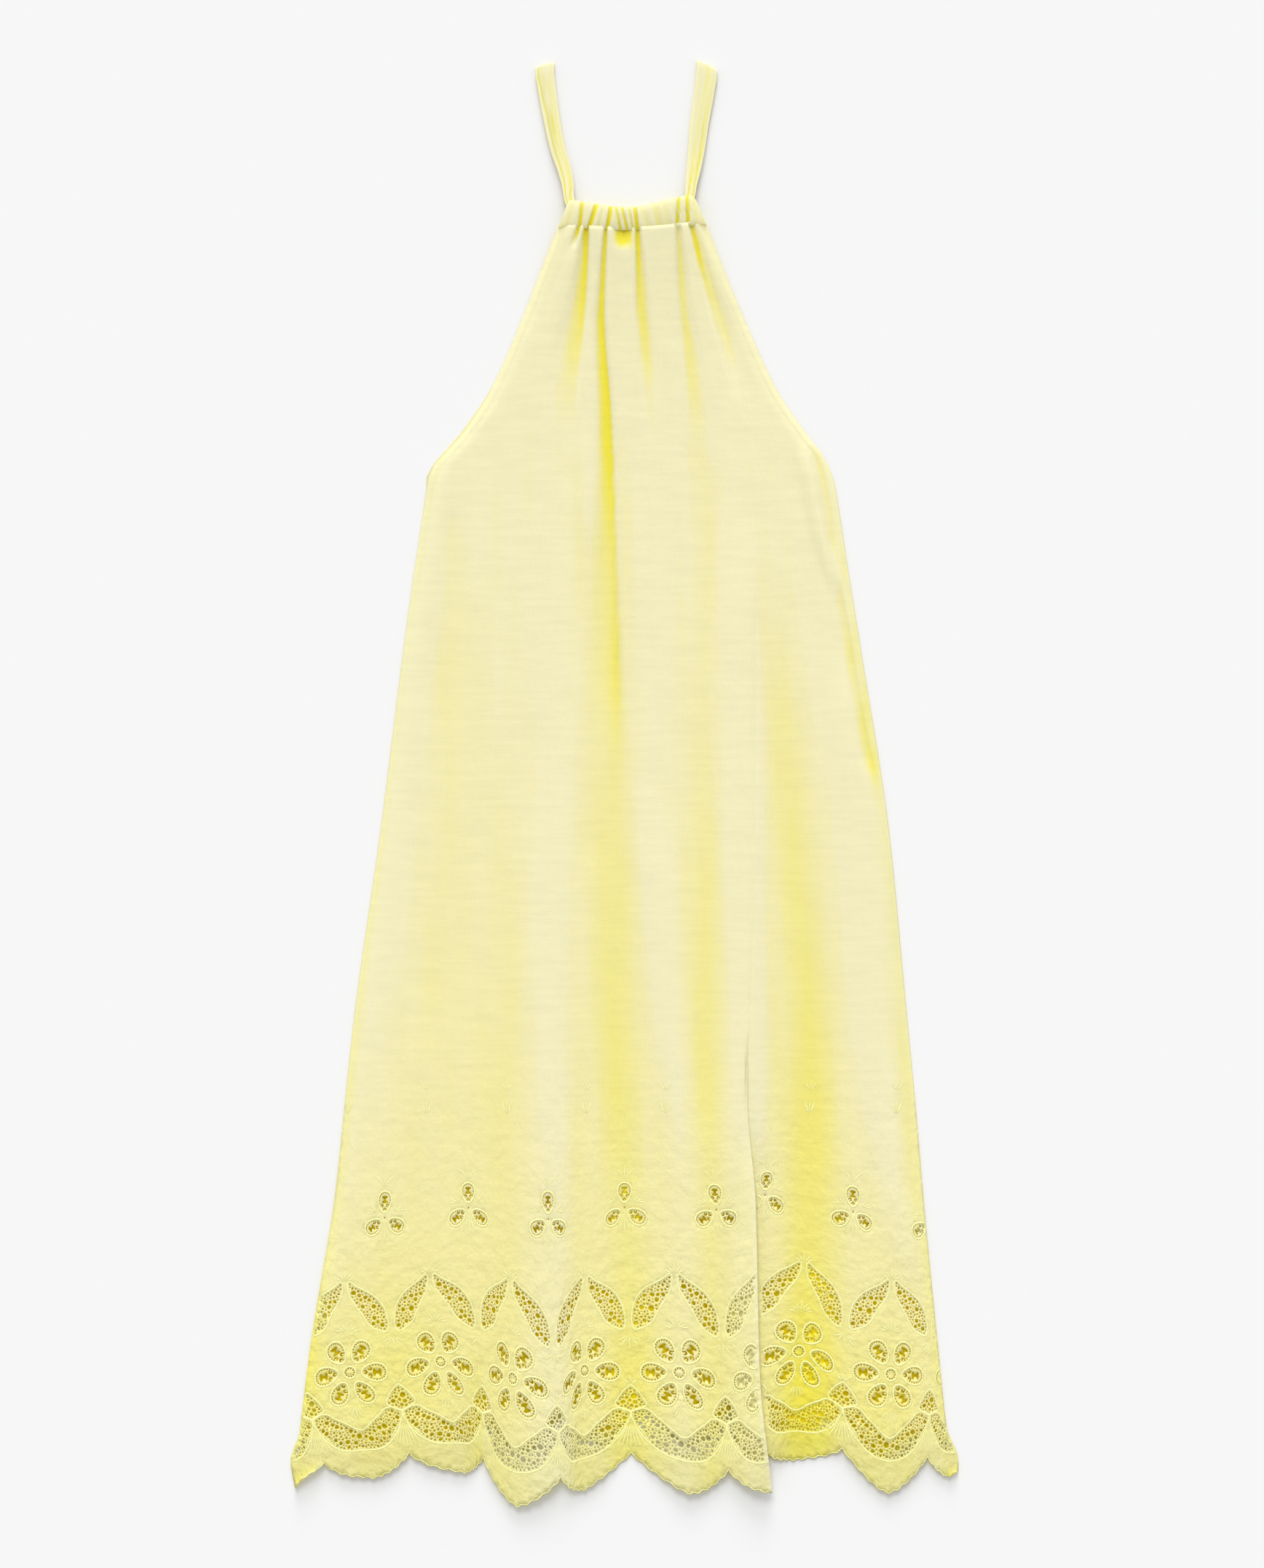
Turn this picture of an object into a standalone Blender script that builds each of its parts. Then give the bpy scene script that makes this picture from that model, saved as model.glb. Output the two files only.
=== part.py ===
"""A halter sundress laid out flat.

Two A-line panels lie on each other, the front one in soft lengthwise folds with a lapped pleat.
Each is gathered into a hollow neck casing, and two straps run from the front casing over the
shoulder to the back one. Frame: the dress lies on the XY plane, +Y towards the neck, +Z up, and
the origin is the middle of its footprint. Shapes are worked out in millimetres.
"""
import bpy
import bmesh
import numpy as np

MM = 0.001

# Cloth
WALL = 1.2                      # thickness of a panel or casing wall
SEAM_GAP = 0.3                  # clearance between two pieces at a seam
NECK_GAP = 0.46                 # the same at the front panel's slanting neck edge, on its outer face
BACK_TOP = WALL                 # upper face of the back panel, which rests on z = 0
PANEL_LOW = 2 * WALL + SEAM_GAP  # lowest outer face of the front panel
CLOTH_COLOUR = (0.93, 0.89, 0.50, 1.0)
CLOTH_ROUGHNESS = 0.9

# Border: the flat cloth carries a motif every PITCH, and "lines" count motifs across it
PITCH = 95.0
SCALLOP_LOW = -708.0            # hem at the bottom of a scallop
SCALLOP_RISE = 33.5             # from there up to the cusp between two scallops
SCALLOP_BOW = 1.5
FOLD_LINE = 4.96                # cloth line along the edge of the lapped pleat
HEM_LEFT_LINE, HEM_RIGHT_LINE = -0.93, 8.05
PLEAT_STRIP = 0.12              # least width of the pleat's strip, in pitches

# Half-widths of the front panel's outline, from the neck seam down
OUTLINE = (                     # y, left, right
    (558, -69.5, 79), (524, -83, 93), (458, -109, 121), (393, -138, 151), (349, -167, 181),
    (327, -187, 198), (316, -196, 203), (305, -200, 207), (283, -203, 211), (217, -213, 221),
    (130, -225, 235), (-45, -247, 262), (-220, -272, 279), (-396, -292, 296),
    (-571, -320, 313), (-673, -331, 324), (-725, -334, 334),
)
NECK_SEAM = ((-69, 558), (0, 555), (79, 561))           # x, y of the casings' lower seam

# Where the cloth lines lie across the border, left of the pleat's edge and right of it
LEFT_LINES = (                  # line, x at the hem, the flowers, the trefoils, the sprigs
    (-1.0, -341, -365, -368, -362), (-0.5, -300, -322, -326, -322), (0.0, -258, -278, -284, -281),
    (0.5, -216, -231, -243, -241), (1.0, -166, -187, -201, -201), (1.5, -144, -146, -159, -161),
    (2.0, -111, -115, -119, -121), (2.5, -66, -71, -79, -81), (3.0, -43, -43, -42, -41),
    (3.5, 4, 3, -3, -2), (4.0, 60, 52, 44, 38), (4.5, 102, 97.5, 89, 80), (5.0, 147, 136, 132, 124),
)
RIGHT_LINES = (
    (5.0, 111, 84, 97, 112), (5.5, 139, 123, 138, 147), (6.0, 167, 172, 180, 183),
    (6.5, 215, 216, 226, 226), (7.0, 262, 264, 266, 270), (7.5, 300, 303, 302, 313),
    (8.0, 329, 329, 335, 357), (8.5, 355, 357, 368, 400),
)
BORDER_LEVELS = (-690, -587, -427, -315)
EVEN_LEVELS = (                 # y, left line and its x, right line and its x
    (-89, 0.45, -253, 6.73, 267.5), (283, 1.17, -203, 6.0, 211), (558, 1.9, -69.5, 5.3, 79),
)
SAG = (                         # line, how far it sits above its level at hem, flowers, trefoils
    (-1.0, -2, -12, -10), (-0.5, -6, -10, -10), (0.0, 10, -2, -9), (0.5, 4, -1, -7),
    (1.0, 16, 9, -2), (1.5, -2, -2, 3), (2.0, -15, -8, -3), (2.5, -20, -21, -8), (3.0, 0, 0, -3),
    (3.5, 4, -2, 3), (4.0, -3, -2, 2), (4.5, -14, -12, 1), (5.0, -2, -6, 9), (5.5, 6, 9, 16),
    (6.0, 28, 19, 8), (6.5, 9, 1, -1), (7.0, -3, -4, -6), (7.5, 0, -6, -12), (8.0, 9, -13, -13),
)

# Height of the front panel's outer face
REST_HEIGHT = ((558, 12.5), (500, 9.5), (440, 7.5), (300, 6.3), (-300, 6.3), (-725, 5.8))
EDGE_HEIGHT = ((558, 8.0), (540, 6.0), (500, 3.6), (460, PANEL_LOW), (-725, PANEL_LOW))
EDGE_ROLL = 18.0                # width over which the cloth comes down at a side
FOLDS = (
    # centre line (y, x), rise at its top and bottom, reach to the left and right at both, and
    # the lengths over which it fades in and out
    dict(line=((560, -39), (507, -45), (458, -54), (395, -61)),
         rise=(-5, -4), left=(7, 16), right=(3, 6), fade=(0, 70)),
    dict(line=((560, -19), (502, -23), (407, -19), (276, -11), (130, -3), (0, 0)),
         rise=(-6.5, -3.5), left=(9, 26), right=(4, 7), fade=(0, 170)),
    dict(line=((560, -47), (530, -57)), rise=(-4, -3), left=(5, 6), right=(3, 3), fade=(0, 20)),
    dict(line=((560, -2), (532, -5)), rise=(-4.5, -3), left=(4, 5), right=(5, 5), fade=(0, 16)),
    dict(line=((560, 8), (510, 13), (458, 19), (407, 24), (276, 32)),
         rise=(-5.5, -1.5), left=(3, 12), right=(7, 18), fade=(0, 120)),
    dict(line=((560, 50), (495, 55), (378, 68), (247, 78), (86, 81), (-235, 79), (-381, 74)),
         rise=(-4, -3.5), left=(5, 24), right=(5, 22), fade=(0, 90)),
    dict(line=((560, 61), (535, 66), (473, 85), (405, 104)),
         rise=(-5, -3), left=(3, 6), right=(7, 15), fade=(0, 60)),
    dict(line=((200, -186), (-280, -186)),
         rise=(-1.5, -1.5), left=(45, 45), right=(45, 45), fade=(100, 100)),
    dict(line=((60, -32), (-89, -28), (-357, -8), (-551, 3), (-730, 3)),
         rise=(-2.5, -4), left=(30, 30), right=(30, 32), fade=(140, 0)),
    dict(line=((330, 149), (137, 152), (-89, 172), (-235, 184), (-491, 187), (-730, 180)),
         rise=(-3, -3.6), left=(22, 50), right=(26, 45), fade=(80, 0)),
    dict(line=((60, -78), (-505, -72), (-730, -70)),
         rise=(3, 8), left=(40, 62), right=(30, 26), fade=(150, 0)),
    dict(line=((8, 26), (-235, 45), (-381, 59), (-730, 62)),
         rise=(2.5, 3), left=(30, 30), right=(30, 30), fade=(120, 0)),
    dict(line=((140, 215), (-89, 230), (-235, 240), (-454, 274), (-510, 290)),
         rise=(3, 2), left=(26, 26), right=(24, 24), fade=(80, 60)),
    dict(line=((-200, 274), (-460, 291)),
         rise=(-2, -2), left=(14, 14), right=(12, 12), fade=(60, 60)),
    dict(line=((345, 176), (261, 192), (174, 222)),
         rise=(3, 3), left=(14, 14), right=(10, 10), fade=(30, 40)),
    dict(line=((-560, -150), (-730, -146)),
         rise=(-1.5, -3), left=(22, 22), right=(7, 7), fade=(60, 0)),
)
LAP = dict(line=((300, 108), (8, 117), (-284, 122), (-430, 126), (-730, 138)),
           rise=(2.5, 8), left=(35, 60), right=(26, 30), fade=(150, 0))
LAP_CLOSES = 0.30               # hidden width, in pitches, at which the pleat lies folded flat
INNER_TURN = 0.4                # radius of the hidden turn of the pleat, on its outer face

# Back panel
BACK_INSET = (                  # y, how far its edge lies inside the front's, left and right
    (558, 1, 1), (420, 0, 1), (345, -3, 1), (305, -2, 1.5), (285, 2, 2), (-725, 3, 3),
)
BACK_HEM = (                    # x, y of its scallops, from one side to the other
    (-331, -691), (-300, -666), (-258, -689), (-216, -657), (-178, -680), (-140, -644),
    (-100, -662), (-60, -631), (-17, -662), (25, -629), (70, -662), (115, -633), (160, -672),
    (208, -648), (253, -693), (298, -662), (331, -682),
)
BACK_ROWS = (555, 490, 410, 350, 315, 290, 200, 0, -300, -610)

# Casings: hollow channels with the gathers as dips of their upper face
CASING_ENDS = ((-69, 558), (-48, 584.5)), ((79, 561), (53, 589))    # lower and upper corner, x, y
CASING_TOP = ((-48, 584.5), (0, 579), (53, 589))
BACK_CASING_HEIGHT = 6.0
FRONT_CASING_FLOOR = BACK_CASING_HEIGHT + SEAM_GAP
FRONT_CASING_HEIGHT = 8.4
GATHERS = (                     # x, depth and half-width of each dip
    (-47, 2.4, 5), (-33, 2.0, 4), (-17, 2.4, 5), (1, 2.4, 4), (9, 2.2, 4), (33, 1.4, 9),
    (50, 2.2, 5), (61, 2.0, 4),
)
RING_POINTS = 10
FRONT_STATIONS, BACK_STATIONS = 29, 13

# Straps: flat-pressed tubes; each runs inside the front casing, out, over the shoulder and back
STRAP_THICK = 2.0
STRAP_LIFT = 2.9                # its centre above a casing's underside
LEFT_STRAP = (                  # x, y, width, height of the front run's centre, x of the back run
    (-0.4, 566.5, 15, None, -0.4), (-14, 566.5, 15, None, -14), (-30, 567, 15, None, -30),
    (-42, 569, 13, None, -42), (-50, 573, 11, None, -50), (-56, 580, 10, None, -56),
    (-58.5, 589, 10.5, 8.2, -58.5), (-59.5, 600, 12, 7.2, -60), (-62.5, 615, 13.2, 6.0, -64.5),
    (-69.7, 638, 14.6, 4.7, -72.5), (-74.8, 664, 16.1, 4.1, -78), (-79.2, 691, 17.6, 3.9, -82),
    (-82, 712, 18.4, 3.9, -84),
)
RIGHT_STRAP = (
    (0.4, 566.5, 15, None, 0.4), (14, 567, 15, None, 14), (30, 568, 15, None, 30),
    (44, 571, 13, None, 44), (53, 575.5, 11, None, 53), (60, 582.5, 10, None, 60),
    (63, 592, 10.5, 8.2, 63), (64, 602, 12, 7.2, 65), (66, 615, 13.2, 6.0, 68.5),
    (68.8, 638, 15.5, 4.7, 72.5), (71.5, 664, 17, 4.1, 76), (75.5, 691, 18.2, 3.9, 80.5),
    (78.5, 712, 18.6, 3.9, 83),
)
FOLD_TOP = 720.0                # where the strap turns over
TURN_STEPS = 6


def smooth_curve(knots, values, at):
    """Value at each place on a curve that passes through the knots and doesn't overshoot."""
    knots, at = np.asarray(knots, float), np.asarray(at, float)
    values = np.asarray(values, float)
    if knots[0] > knots[-1]:
        knots, values = knots[::-1], values[::-1]
    shape, at = at.shape, at.ravel()
    if values.ndim == 1:
        values = np.repeat(values[:, None], at.size, axis=1)
    step = np.diff(knots)[:, None]
    slope = np.diff(values, axis=0) / step
    product, total = slope[:-1] * slope[1:], slope[:-1] + slope[1:]
    inner = np.where(product > 0, 2 * product / np.where(total == 0, 1, total), 0)
    tangent = np.vstack([slope[:1], inner, slope[-1:]])
    row, column = np.clip(np.searchsorted(knots, at) - 1, 0, len(knots) - 2), np.arange(at.size)
    width = step[row, 0]
    along = (at - knots[row]) / width
    t = np.clip(along, 0, 1)
    start, end = values[row, column], values[row + 1, column]
    leaving, arriving = tangent[row, column] * width, tangent[row + 1, column] * width
    curve = ((2 * t**3 - 3 * t**2 + 1) * start + (t**3 - 2 * t**2 + t) * leaving
             + (3 * t**2 - 2 * t**3) * end + (t**3 - t**2) * arriving)
    return (curve + (along - t) * np.where(along < 0, leaving, arriving)).reshape(shape)


def column(table, number):
    return [row[number] for row in table]


def ease(value):
    t = np.clip(value, 0, 1)
    return t * t * (3 - 2 * t)


def lines_x(lines, line, level):
    """Where a cloth line lies across the dress at a level, on one side of the pleat."""
    knots = column(lines, 0)
    spread = [smooth_curve(knots, column(lines, 1 + i), line) for i in range(len(BORDER_LEVELS))]
    for _, left_line, left_x, right_line, right_x in EVEN_LEVELS:
        spread.append(left_x + (line - left_line) * (right_x - left_x) / (right_line - left_line))
    levels = BORDER_LEVELS + tuple(column(EVEN_LEVELS, 0))
    return smooth_curve(levels, np.array(spread), level)


def sagged(line, level):
    """Height on the page of a point of the flat cloth, after its uneven sag."""
    knots = column(SAG, 0)
    sags = [smooth_curve(knots, column(SAG, 1 + i), line) for i in range(3)] + [0 * line, 0 * line]
    levels = BORDER_LEVELS + (0,)
    return level + smooth_curve(levels, np.array(sags), np.clip(level, -760, 0))


def line_at(lines, x, level):
    """The cloth line that lies at a place across the dress."""
    trial = np.linspace(-1.5, 9.0, 500)
    return float(np.interp(x, lines_x(lines, trial, np.full(trial.shape, float(level))), trial))


def fold_height(fold, x, y):
    ends = column(fold["line"], 0)
    top, bottom = ends[0], ends[-1]
    centre = smooth_curve(ends, column(fold["line"], 1), y)
    down = np.clip((top - y) / (top - bottom), 0, 1)
    left, right, rise = (fold[name][0] + (fold[name][1] - fold[name][0]) * down
                         for name in ("left", "right", "rise"))
    across = (x - centre) / np.where(x < centre, left, right)
    shape = np.where(abs(across) < 1, (1 - across**2)**2, 0)
    fade_in, fade_out = (max(length, 1) for length in fold["fade"])
    return rise * shape * ease((top - y) / fade_in) * ease((y - bottom) / fade_out)


def panel_height(x, y, closed, above):
    """Outer face of the front panel; above is the cloth on top at the pleat, closed how shut it is."""
    raw = smooth_curve(column(REST_HEIGHT, 0), column(REST_HEIGHT, 1), y)
    for fold in FOLDS:
        raw = raw + fold_height(fold, x, y)
    lap = fold_height(LAP, x, y)
    centre = smooth_curve(column(LAP["line"], 0), column(LAP["line"], 1), y)
    crest = fold_height(LAP, centre, y)
    plateau = np.where(x > centre, crest, lap)
    raw = raw + lap * (1 - closed) + (plateau * closed if above else 0)
    low = smooth_curve(column(EDGE_HEIGHT, 0), column(EDGE_HEIGHT, 1), y)
    over = 0.5 * ((raw - low) + np.sqrt((raw - low)**2 + 0.5))
    edge_left = smooth_curve(column(OUTLINE, 0), column(OUTLINE, 1), y)
    edge_right = smooth_curve(column(OUTLINE, 0), column(OUTLINE, 2), y)
    inside = np.clip(np.minimum(x - edge_left, edge_right - x) / EDGE_ROLL, 0, 1)
    return low + over * inside * (2 - inside)


def pleat_strip(level):
    """The pleat at a level: its edge across the dress, hidden width in lines, how shut it is."""
    edge = float(lines_x(LEFT_LINES, np.array([FOLD_LINE]), np.array([float(level)]))[0])
    hidden = max(line_at(RIGHT_LINES, edge, level) - FOLD_LINE, 0.0) if level < -89 else 0.0
    return edge, hidden, float(ease(hidden / LAP_CLOSES))


def pleat_section(edge, depth, top, low):
    """Turn under, run back and turn forward again: x and z of the folded strip's outer face."""
    middle = low + 2 * INNER_TURN
    radius = (top - middle) / 2
    points = [(edge - radius + radius * np.sin(a), middle + radius + radius * np.cos(a))
              for a in np.linspace(0, np.pi, 5)]
    points += [(edge - depth - INNER_TURN * np.sin(a), low + INNER_TURN + INNER_TURN * np.cos(a))
               for a in np.linspace(0, np.pi, 4)]
    return points


def front_row(level, hem=False):
    """Outer points of the front panel along one row, from its left edge to its right edge."""
    edge, hidden, closed = pleat_strip(level)
    far_line = FOLD_LINE + max(hidden, PLEAT_STRIP)
    left_edge = float(smooth_curve(column(OUTLINE, 0), column(OUTLINE, 1), level))
    right_edge = float(smooth_curve(column(OUTLINE, 0), column(OUTLINE, 2), level))
    ends = ((HEM_LEFT_LINE, HEM_RIGHT_LINE) if hem else
            (line_at(LEFT_LINES, left_edge, level), line_at(RIGHT_LINES, right_edge, level)))
    if level > -89:
        ends = (ends[0], line_at(LEFT_LINES, right_edge, level))
    left = ends[0] + (FOLD_LINE - ends[0]) * LEFT_SHARES
    right = far_line + (ends[1] - far_line) * RIGHT_SHARES
    strip = np.linspace(FOLD_LINE, far_line, 11)[1:-1]
    line = np.concatenate([left, strip, right])
    levels = np.full(line.shape, float(level))
    if hem:
        levels = SCALLOP_LOW + SCALLOP_RISE * abs(2 * (line - np.round(line)))**SCALLOP_BOW
    y = sagged(line, levels)
    neck = smooth_curve(column(NECK_SEAM, 0), column(NECK_SEAM, 1), lines_x(LEFT_LINES, line, levels))
    y = y + (neck - NECK_GAP - OUTLINE[0][0]) * ease((levels - 500) / 58)
    across = lines_x(LEFT_LINES, line, levels)
    beyond = lines_x(RIGHT_LINES, line, levels) if level < -89 else across
    first, last = len(left), len(left) + len(strip)
    x = np.concatenate([across[:first], across[first:last], beyond[last:]])
    share = (line[first:last] - FOLD_LINE) / (far_line - FOLD_LINE)
    x[first:last] = x[first - 1] + (x[last] - x[first - 1]) * share
    z = np.concatenate([panel_height(x[:last], y[:last], closed, True),
                        panel_height(x[last:], y[last:], closed, False)])
    z[first:last] = z[first - 1] + (z[last] - z[first - 1]) * ease(share)
    if closed > 0:
        radius = (z[first - 1] - z[last] - 2 * INNER_TURN) / 2
        depth = max((far_line - FOLD_LINE) * PITCH / 2, 2 * INNER_TURN)
        folded = pleat_section(edge, depth, z[first - 1], z[last])
        for i, (fold_x, fold_z) in enumerate(folded):
            x[first + i] += (fold_x - x[first + i]) * closed
            z[first + i] += (fold_z - z[first + i]) * closed
        pull = radius * closed * np.clip(1 - (FOLD_LINE - line[:first]) / 0.4, 0, 1)
        x[:first] -= pull
    return np.stack([x, y, z], axis=1)


HEM_PLEAT = pleat_strip(-690)[1]
LEFT_SHARES = (np.concatenate([[HEM_LEFT_LINE, HEM_LEFT_LINE + 0.06, -0.7], np.arange(-0.5, 4.8, 0.2),
                               [FOLD_LINE]]) - HEM_LEFT_LINE) / (FOLD_LINE - HEM_LEFT_LINE)
RIGHT_SHARES = ((np.concatenate([[FOLD_LINE + HEM_PLEAT], np.arange(5.7, 7.95, 0.2),
                                 [HEM_RIGHT_LINE - 0.06, HEM_RIGHT_LINE]]) - FOLD_LINE - HEM_PLEAT)
                / (HEM_RIGHT_LINE - FOLD_LINE - HEM_PLEAT))
FRONT_ROWS = (558, 543, 520, 490, 455, 420, 385, 355, 328, 305, 280, 235, 180, 110, 30, -60,
              -150, -230, -310, -390, -460, -530, -590, -640, -664)


def cloth_material(name):
    material = bpy.data.materials.new(name)
    material.use_nodes = True
    shader = material.node_tree.nodes["Principled BSDF"]
    shader.inputs["Base Color"].default_value = CLOTH_COLOUR
    shader.inputs["Roughness"].default_value = CLOTH_ROUGHNESS
    shader.inputs["Metallic"].default_value = 0.0
    return material


def add_object(name, mesh_data):
    mesh = bpy.data.meshes.new(name)
    mesh_data.to_mesh(mesh)
    mesh_data.free()
    mesh.materials.append(cloth_material(name))
    mesh.shade_smooth()
    piece = bpy.data.objects.new(name, mesh)
    bpy.context.scene.collection.objects.link(piece)
    return piece


def surface(rows, ring=False):
    """A sheet through rows of points in millimetres; each row closes on itself in a ring."""
    sheet = bmesh.new()
    grid = [[sheet.verts.new(np.asarray(point) * MM) for point in row] for row in rows]
    for near, far in zip(grid, grid[1:]):
        for i in range(len(near) if ring else len(near) - 1):
            j = (i + 1) % len(near)
            sheet.faces.new((near[i], far[i], far[j], near[j]))
    return sheet


def add_cloth(name, rows, ring=False):
    """A cloth piece whose outer face passes through the rows, with its wall behind that face."""
    piece = add_object(name, surface(rows, ring))
    wall = piece.modifiers.new("wall", "SOLIDIFY")
    wall.thickness = WALL * MM
    wall.offset = -1.0
    return piece


def back_hem(x):
    """Scalloped hem of the back panel, round at the bottoms and pointed at the cusps."""
    places, heights = np.array(column(BACK_HEM, 0)), np.array(column(BACK_HEM, 1))
    i = int(np.clip(np.searchsorted(places, x) - 1, 0, len(places) - 2))
    bottom, cusp = (i, i + 1) if heights[i] < heights[i + 1] else (i + 1, i)
    share = abs((x - places[bottom]) / (places[cusp] - places[bottom]))
    return heights[bottom] + (heights[cusp] - heights[bottom]) * share**SCALLOP_BOW


def add_back_panel():
    hem_x = []
    for start, end in zip(column(BACK_HEM, 0), column(BACK_HEM, 0)[1:]):
        hem_x += [start, start + 0.5 * (end - start)]
    hem_x = np.array(hem_x + [BACK_HEM[-1][0]], float)
    shares = (hem_x - hem_x[0]) / (hem_x[-1] - hem_x[0])
    rows = []
    for y in BACK_ROWS:
        left = (smooth_curve(column(OUTLINE, 0), column(OUTLINE, 1), y)
                + smooth_curve(column(BACK_INSET, 0), column(BACK_INSET, 1), y))
        right = (smooth_curve(column(OUTLINE, 0), column(OUTLINE, 2), y)
                 - smooth_curve(column(BACK_INSET, 0), column(BACK_INSET, 2), y))
        x = left + (right - left) * shares
        neck = smooth_curve(column(NECK_SEAM, 0), column(NECK_SEAM, 1), x)
        rise = (neck - SEAM_GAP - BACK_ROWS[0]) * ease((y - 500) / (BACK_ROWS[0] - 500))
        rows.append(np.stack([x, y + rise, np.full(x.shape, BACK_TOP)], axis=1))
    rows.append([(x, back_hem(x), BACK_TOP) for x in hem_x])
    return add_cloth("back_panel", rows)


def add_front_panel():
    rows = [front_row(level) for level in FRONT_ROWS] + [front_row(-690, hem=True)]
    return add_cloth("front_panel", rows)


def add_casing(name, floor, height, stations, gathers):
    """A gathered channel: rounded rings along the neck, with slanted open ends."""
    (low_left, top_left), (low_right, top_right) = CASING_ENDS
    rows = []
    for share in np.linspace(0, 1, stations):
        low_x = low_left[0] + (low_right[0] - low_left[0]) * share
        top_x = top_left[0] + (top_right[0] - top_left[0]) * share
        low_y = float(smooth_curve(column(NECK_SEAM, 0), column(NECK_SEAM, 1), low_x))
        top_y = float(smooth_curve(column(CASING_TOP, 0), column(CASING_TOP, 1), top_x))
        middle = (low_x + top_x) / 2
        dip = sum(depth * max(0, 1 - ((middle - x) / reach)**2) for x, depth, reach in gathers)
        ring = []
        for angle in np.linspace(2 * np.pi, 0, RING_POINTS, endpoint=False) + np.pi / RING_POINTS:
            out = np.sign(np.cos(angle)) * abs(np.cos(angle) / np.cos(np.pi / RING_POINTS))**0.5
            up = 0.5 + 0.5 * np.sign(np.sin(angle)) * abs(np.sin(angle))**0.5
            across = 0.5 + 0.5 * out
            ring.append((low_x + (top_x - low_x) * across, low_y + (top_y - low_y) * across,
                         floor + (height - dip) * up))
        rows.append(ring)
    return add_cloth(name, rows, ring=True)


def add_strap(name, table):
    """A soft band: front run up from the casing, over at the top, and back under itself."""
    front_casing = FRONT_CASING_FLOOR + STRAP_LIFT
    low_run = STRAP_THICK / 2
    lift = ((500, STRAP_LIFT), (590, STRAP_LIFT), (608, low_run), (800, low_run))
    path = [(x, y, front_casing if z is None else z, width) for x, y, width, z, _ in table]
    radius = (path[-1][2] - low_run) / 2
    first, last, width = path[-1][0], table[-1][4], table[-1][2]
    for turn in np.linspace(0, np.pi, TURN_STEPS + 1):
        share = turn / np.pi
        path.append((first + (last - first) * share, FOLD_TOP + radius * np.sin(turn),
                     low_run + radius + radius * np.cos(turn), width))
    for _, y, width, _, back_x in reversed(table):
        path.append((back_x, y, float(smooth_curve(column(lift, 0), column(lift, 1), y)), width))
    places = np.array([point[:3] for point in path])
    heading = np.gradient(places, axis=0)
    heading /= np.linalg.norm(heading, axis=1)[:, None]
    turning = len(table) + TURN_STEPS // 2
    rows = []
    for i, (place, ahead) in enumerate(zip(places, heading)):
        flat = np.array([ahead[1], -ahead[0], 0.0]) * (1 if i <= turning else -1)
        over_top = len(table) <= i <= len(table) + TURN_STEPS
        aside = np.array([1.0, 0.0, 0.0]) if over_top else flat / np.linalg.norm(flat)
        upward = np.cross(aside, ahead)
        half_width, half_thick = path[i][3] / 2, STRAP_THICK / 2
        ring = []
        for out, up in ((1, 0.45), (0.86, 1), (-0.86, 1), (-1, 0.45),
                        (-1, -0.45), (-0.86, -1), (0.86, -1), (1, -0.45)):
            ring.append(place + aside * out * half_width + upward * up * half_thick)
        rows.append(ring)
    band = surface(rows, ring=True)
    band.verts.ensure_lookup_table()
    count = len(rows[0])
    band.faces.new([band.verts[i] for i in range(count)])
    band.faces.new([band.verts[i] for i in reversed(range(len(band.verts) - count, len(band.verts)))])
    bmesh.ops.recalc_face_normals(band, faces=band.faces)
    return add_object(name, band)


for old in list(bpy.data.objects):
    bpy.data.objects.remove(old, do_unlink=True)

add_back_panel()
add_front_panel()
add_casing("back_casing", 0.0, BACK_CASING_HEIGHT, BACK_STATIONS, ())
add_casing("front_casing", FRONT_CASING_FLOOR, FRONT_CASING_HEIGHT, FRONT_STATIONS, GATHERS)
add_strap("strap_left", LEFT_STRAP)
add_strap("strap_right", RIGHT_STRAP)
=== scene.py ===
"""The looks of a halter sundress laid out flat with its front up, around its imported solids.

Shapes are worked out in millimetres and become metres where a mesh is made. A place on the flat
cloth is a line, which counts border motifs across it, and a level, its height before any sag.
"""
import bpy
import numpy as np
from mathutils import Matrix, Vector, geometry


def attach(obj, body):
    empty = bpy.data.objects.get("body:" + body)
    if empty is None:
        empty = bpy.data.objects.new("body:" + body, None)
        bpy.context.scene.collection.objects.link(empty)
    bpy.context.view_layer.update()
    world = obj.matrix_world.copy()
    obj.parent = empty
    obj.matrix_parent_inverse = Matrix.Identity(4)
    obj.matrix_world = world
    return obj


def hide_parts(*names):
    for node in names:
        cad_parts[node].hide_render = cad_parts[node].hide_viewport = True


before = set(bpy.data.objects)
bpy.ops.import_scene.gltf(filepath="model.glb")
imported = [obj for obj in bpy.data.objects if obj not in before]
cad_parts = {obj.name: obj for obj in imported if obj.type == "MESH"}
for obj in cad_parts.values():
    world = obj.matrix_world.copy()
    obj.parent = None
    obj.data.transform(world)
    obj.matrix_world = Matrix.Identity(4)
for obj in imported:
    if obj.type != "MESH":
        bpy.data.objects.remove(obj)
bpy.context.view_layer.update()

# ---------------------------------------------------------------------------------------------
# The border's cutwork. It is machine embroidery on the flat cloth in a repeat of 95 mm: outlines
# are sewn in satin stitch, the cloth inside them is cut away, and bars of thread hold the rest.
# Each repeat has a flower in an arch of two leaves, a trefoil above, and a wavy band of web below.
PITCH = 95.0
VALLEY = PITCH / 2                      # from a flower to the middle between it and the next
FLOWER_LEVEL, TREFOIL_LEVEL = -587.0, -427.0
RIM = 0.35                              # from the edge of a field of web to its openings
BAR = 0.62                              # half the width of a thread bar
PETAL_LENGTH, PETAL_WIDTH, PETAL_SKEW = 26.6, 19.6, 0.22
PETAL_REACH = 24.9                      # from the flower's middle to a petal's
FLOWER_TURNS = np.radians(np.arange(0, 360, 60))
TREFOIL_SCALE, TREFOIL_REACH = 0.80, 15.4
TREFOIL_TURNS = np.radians((90, 213, 327))
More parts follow.
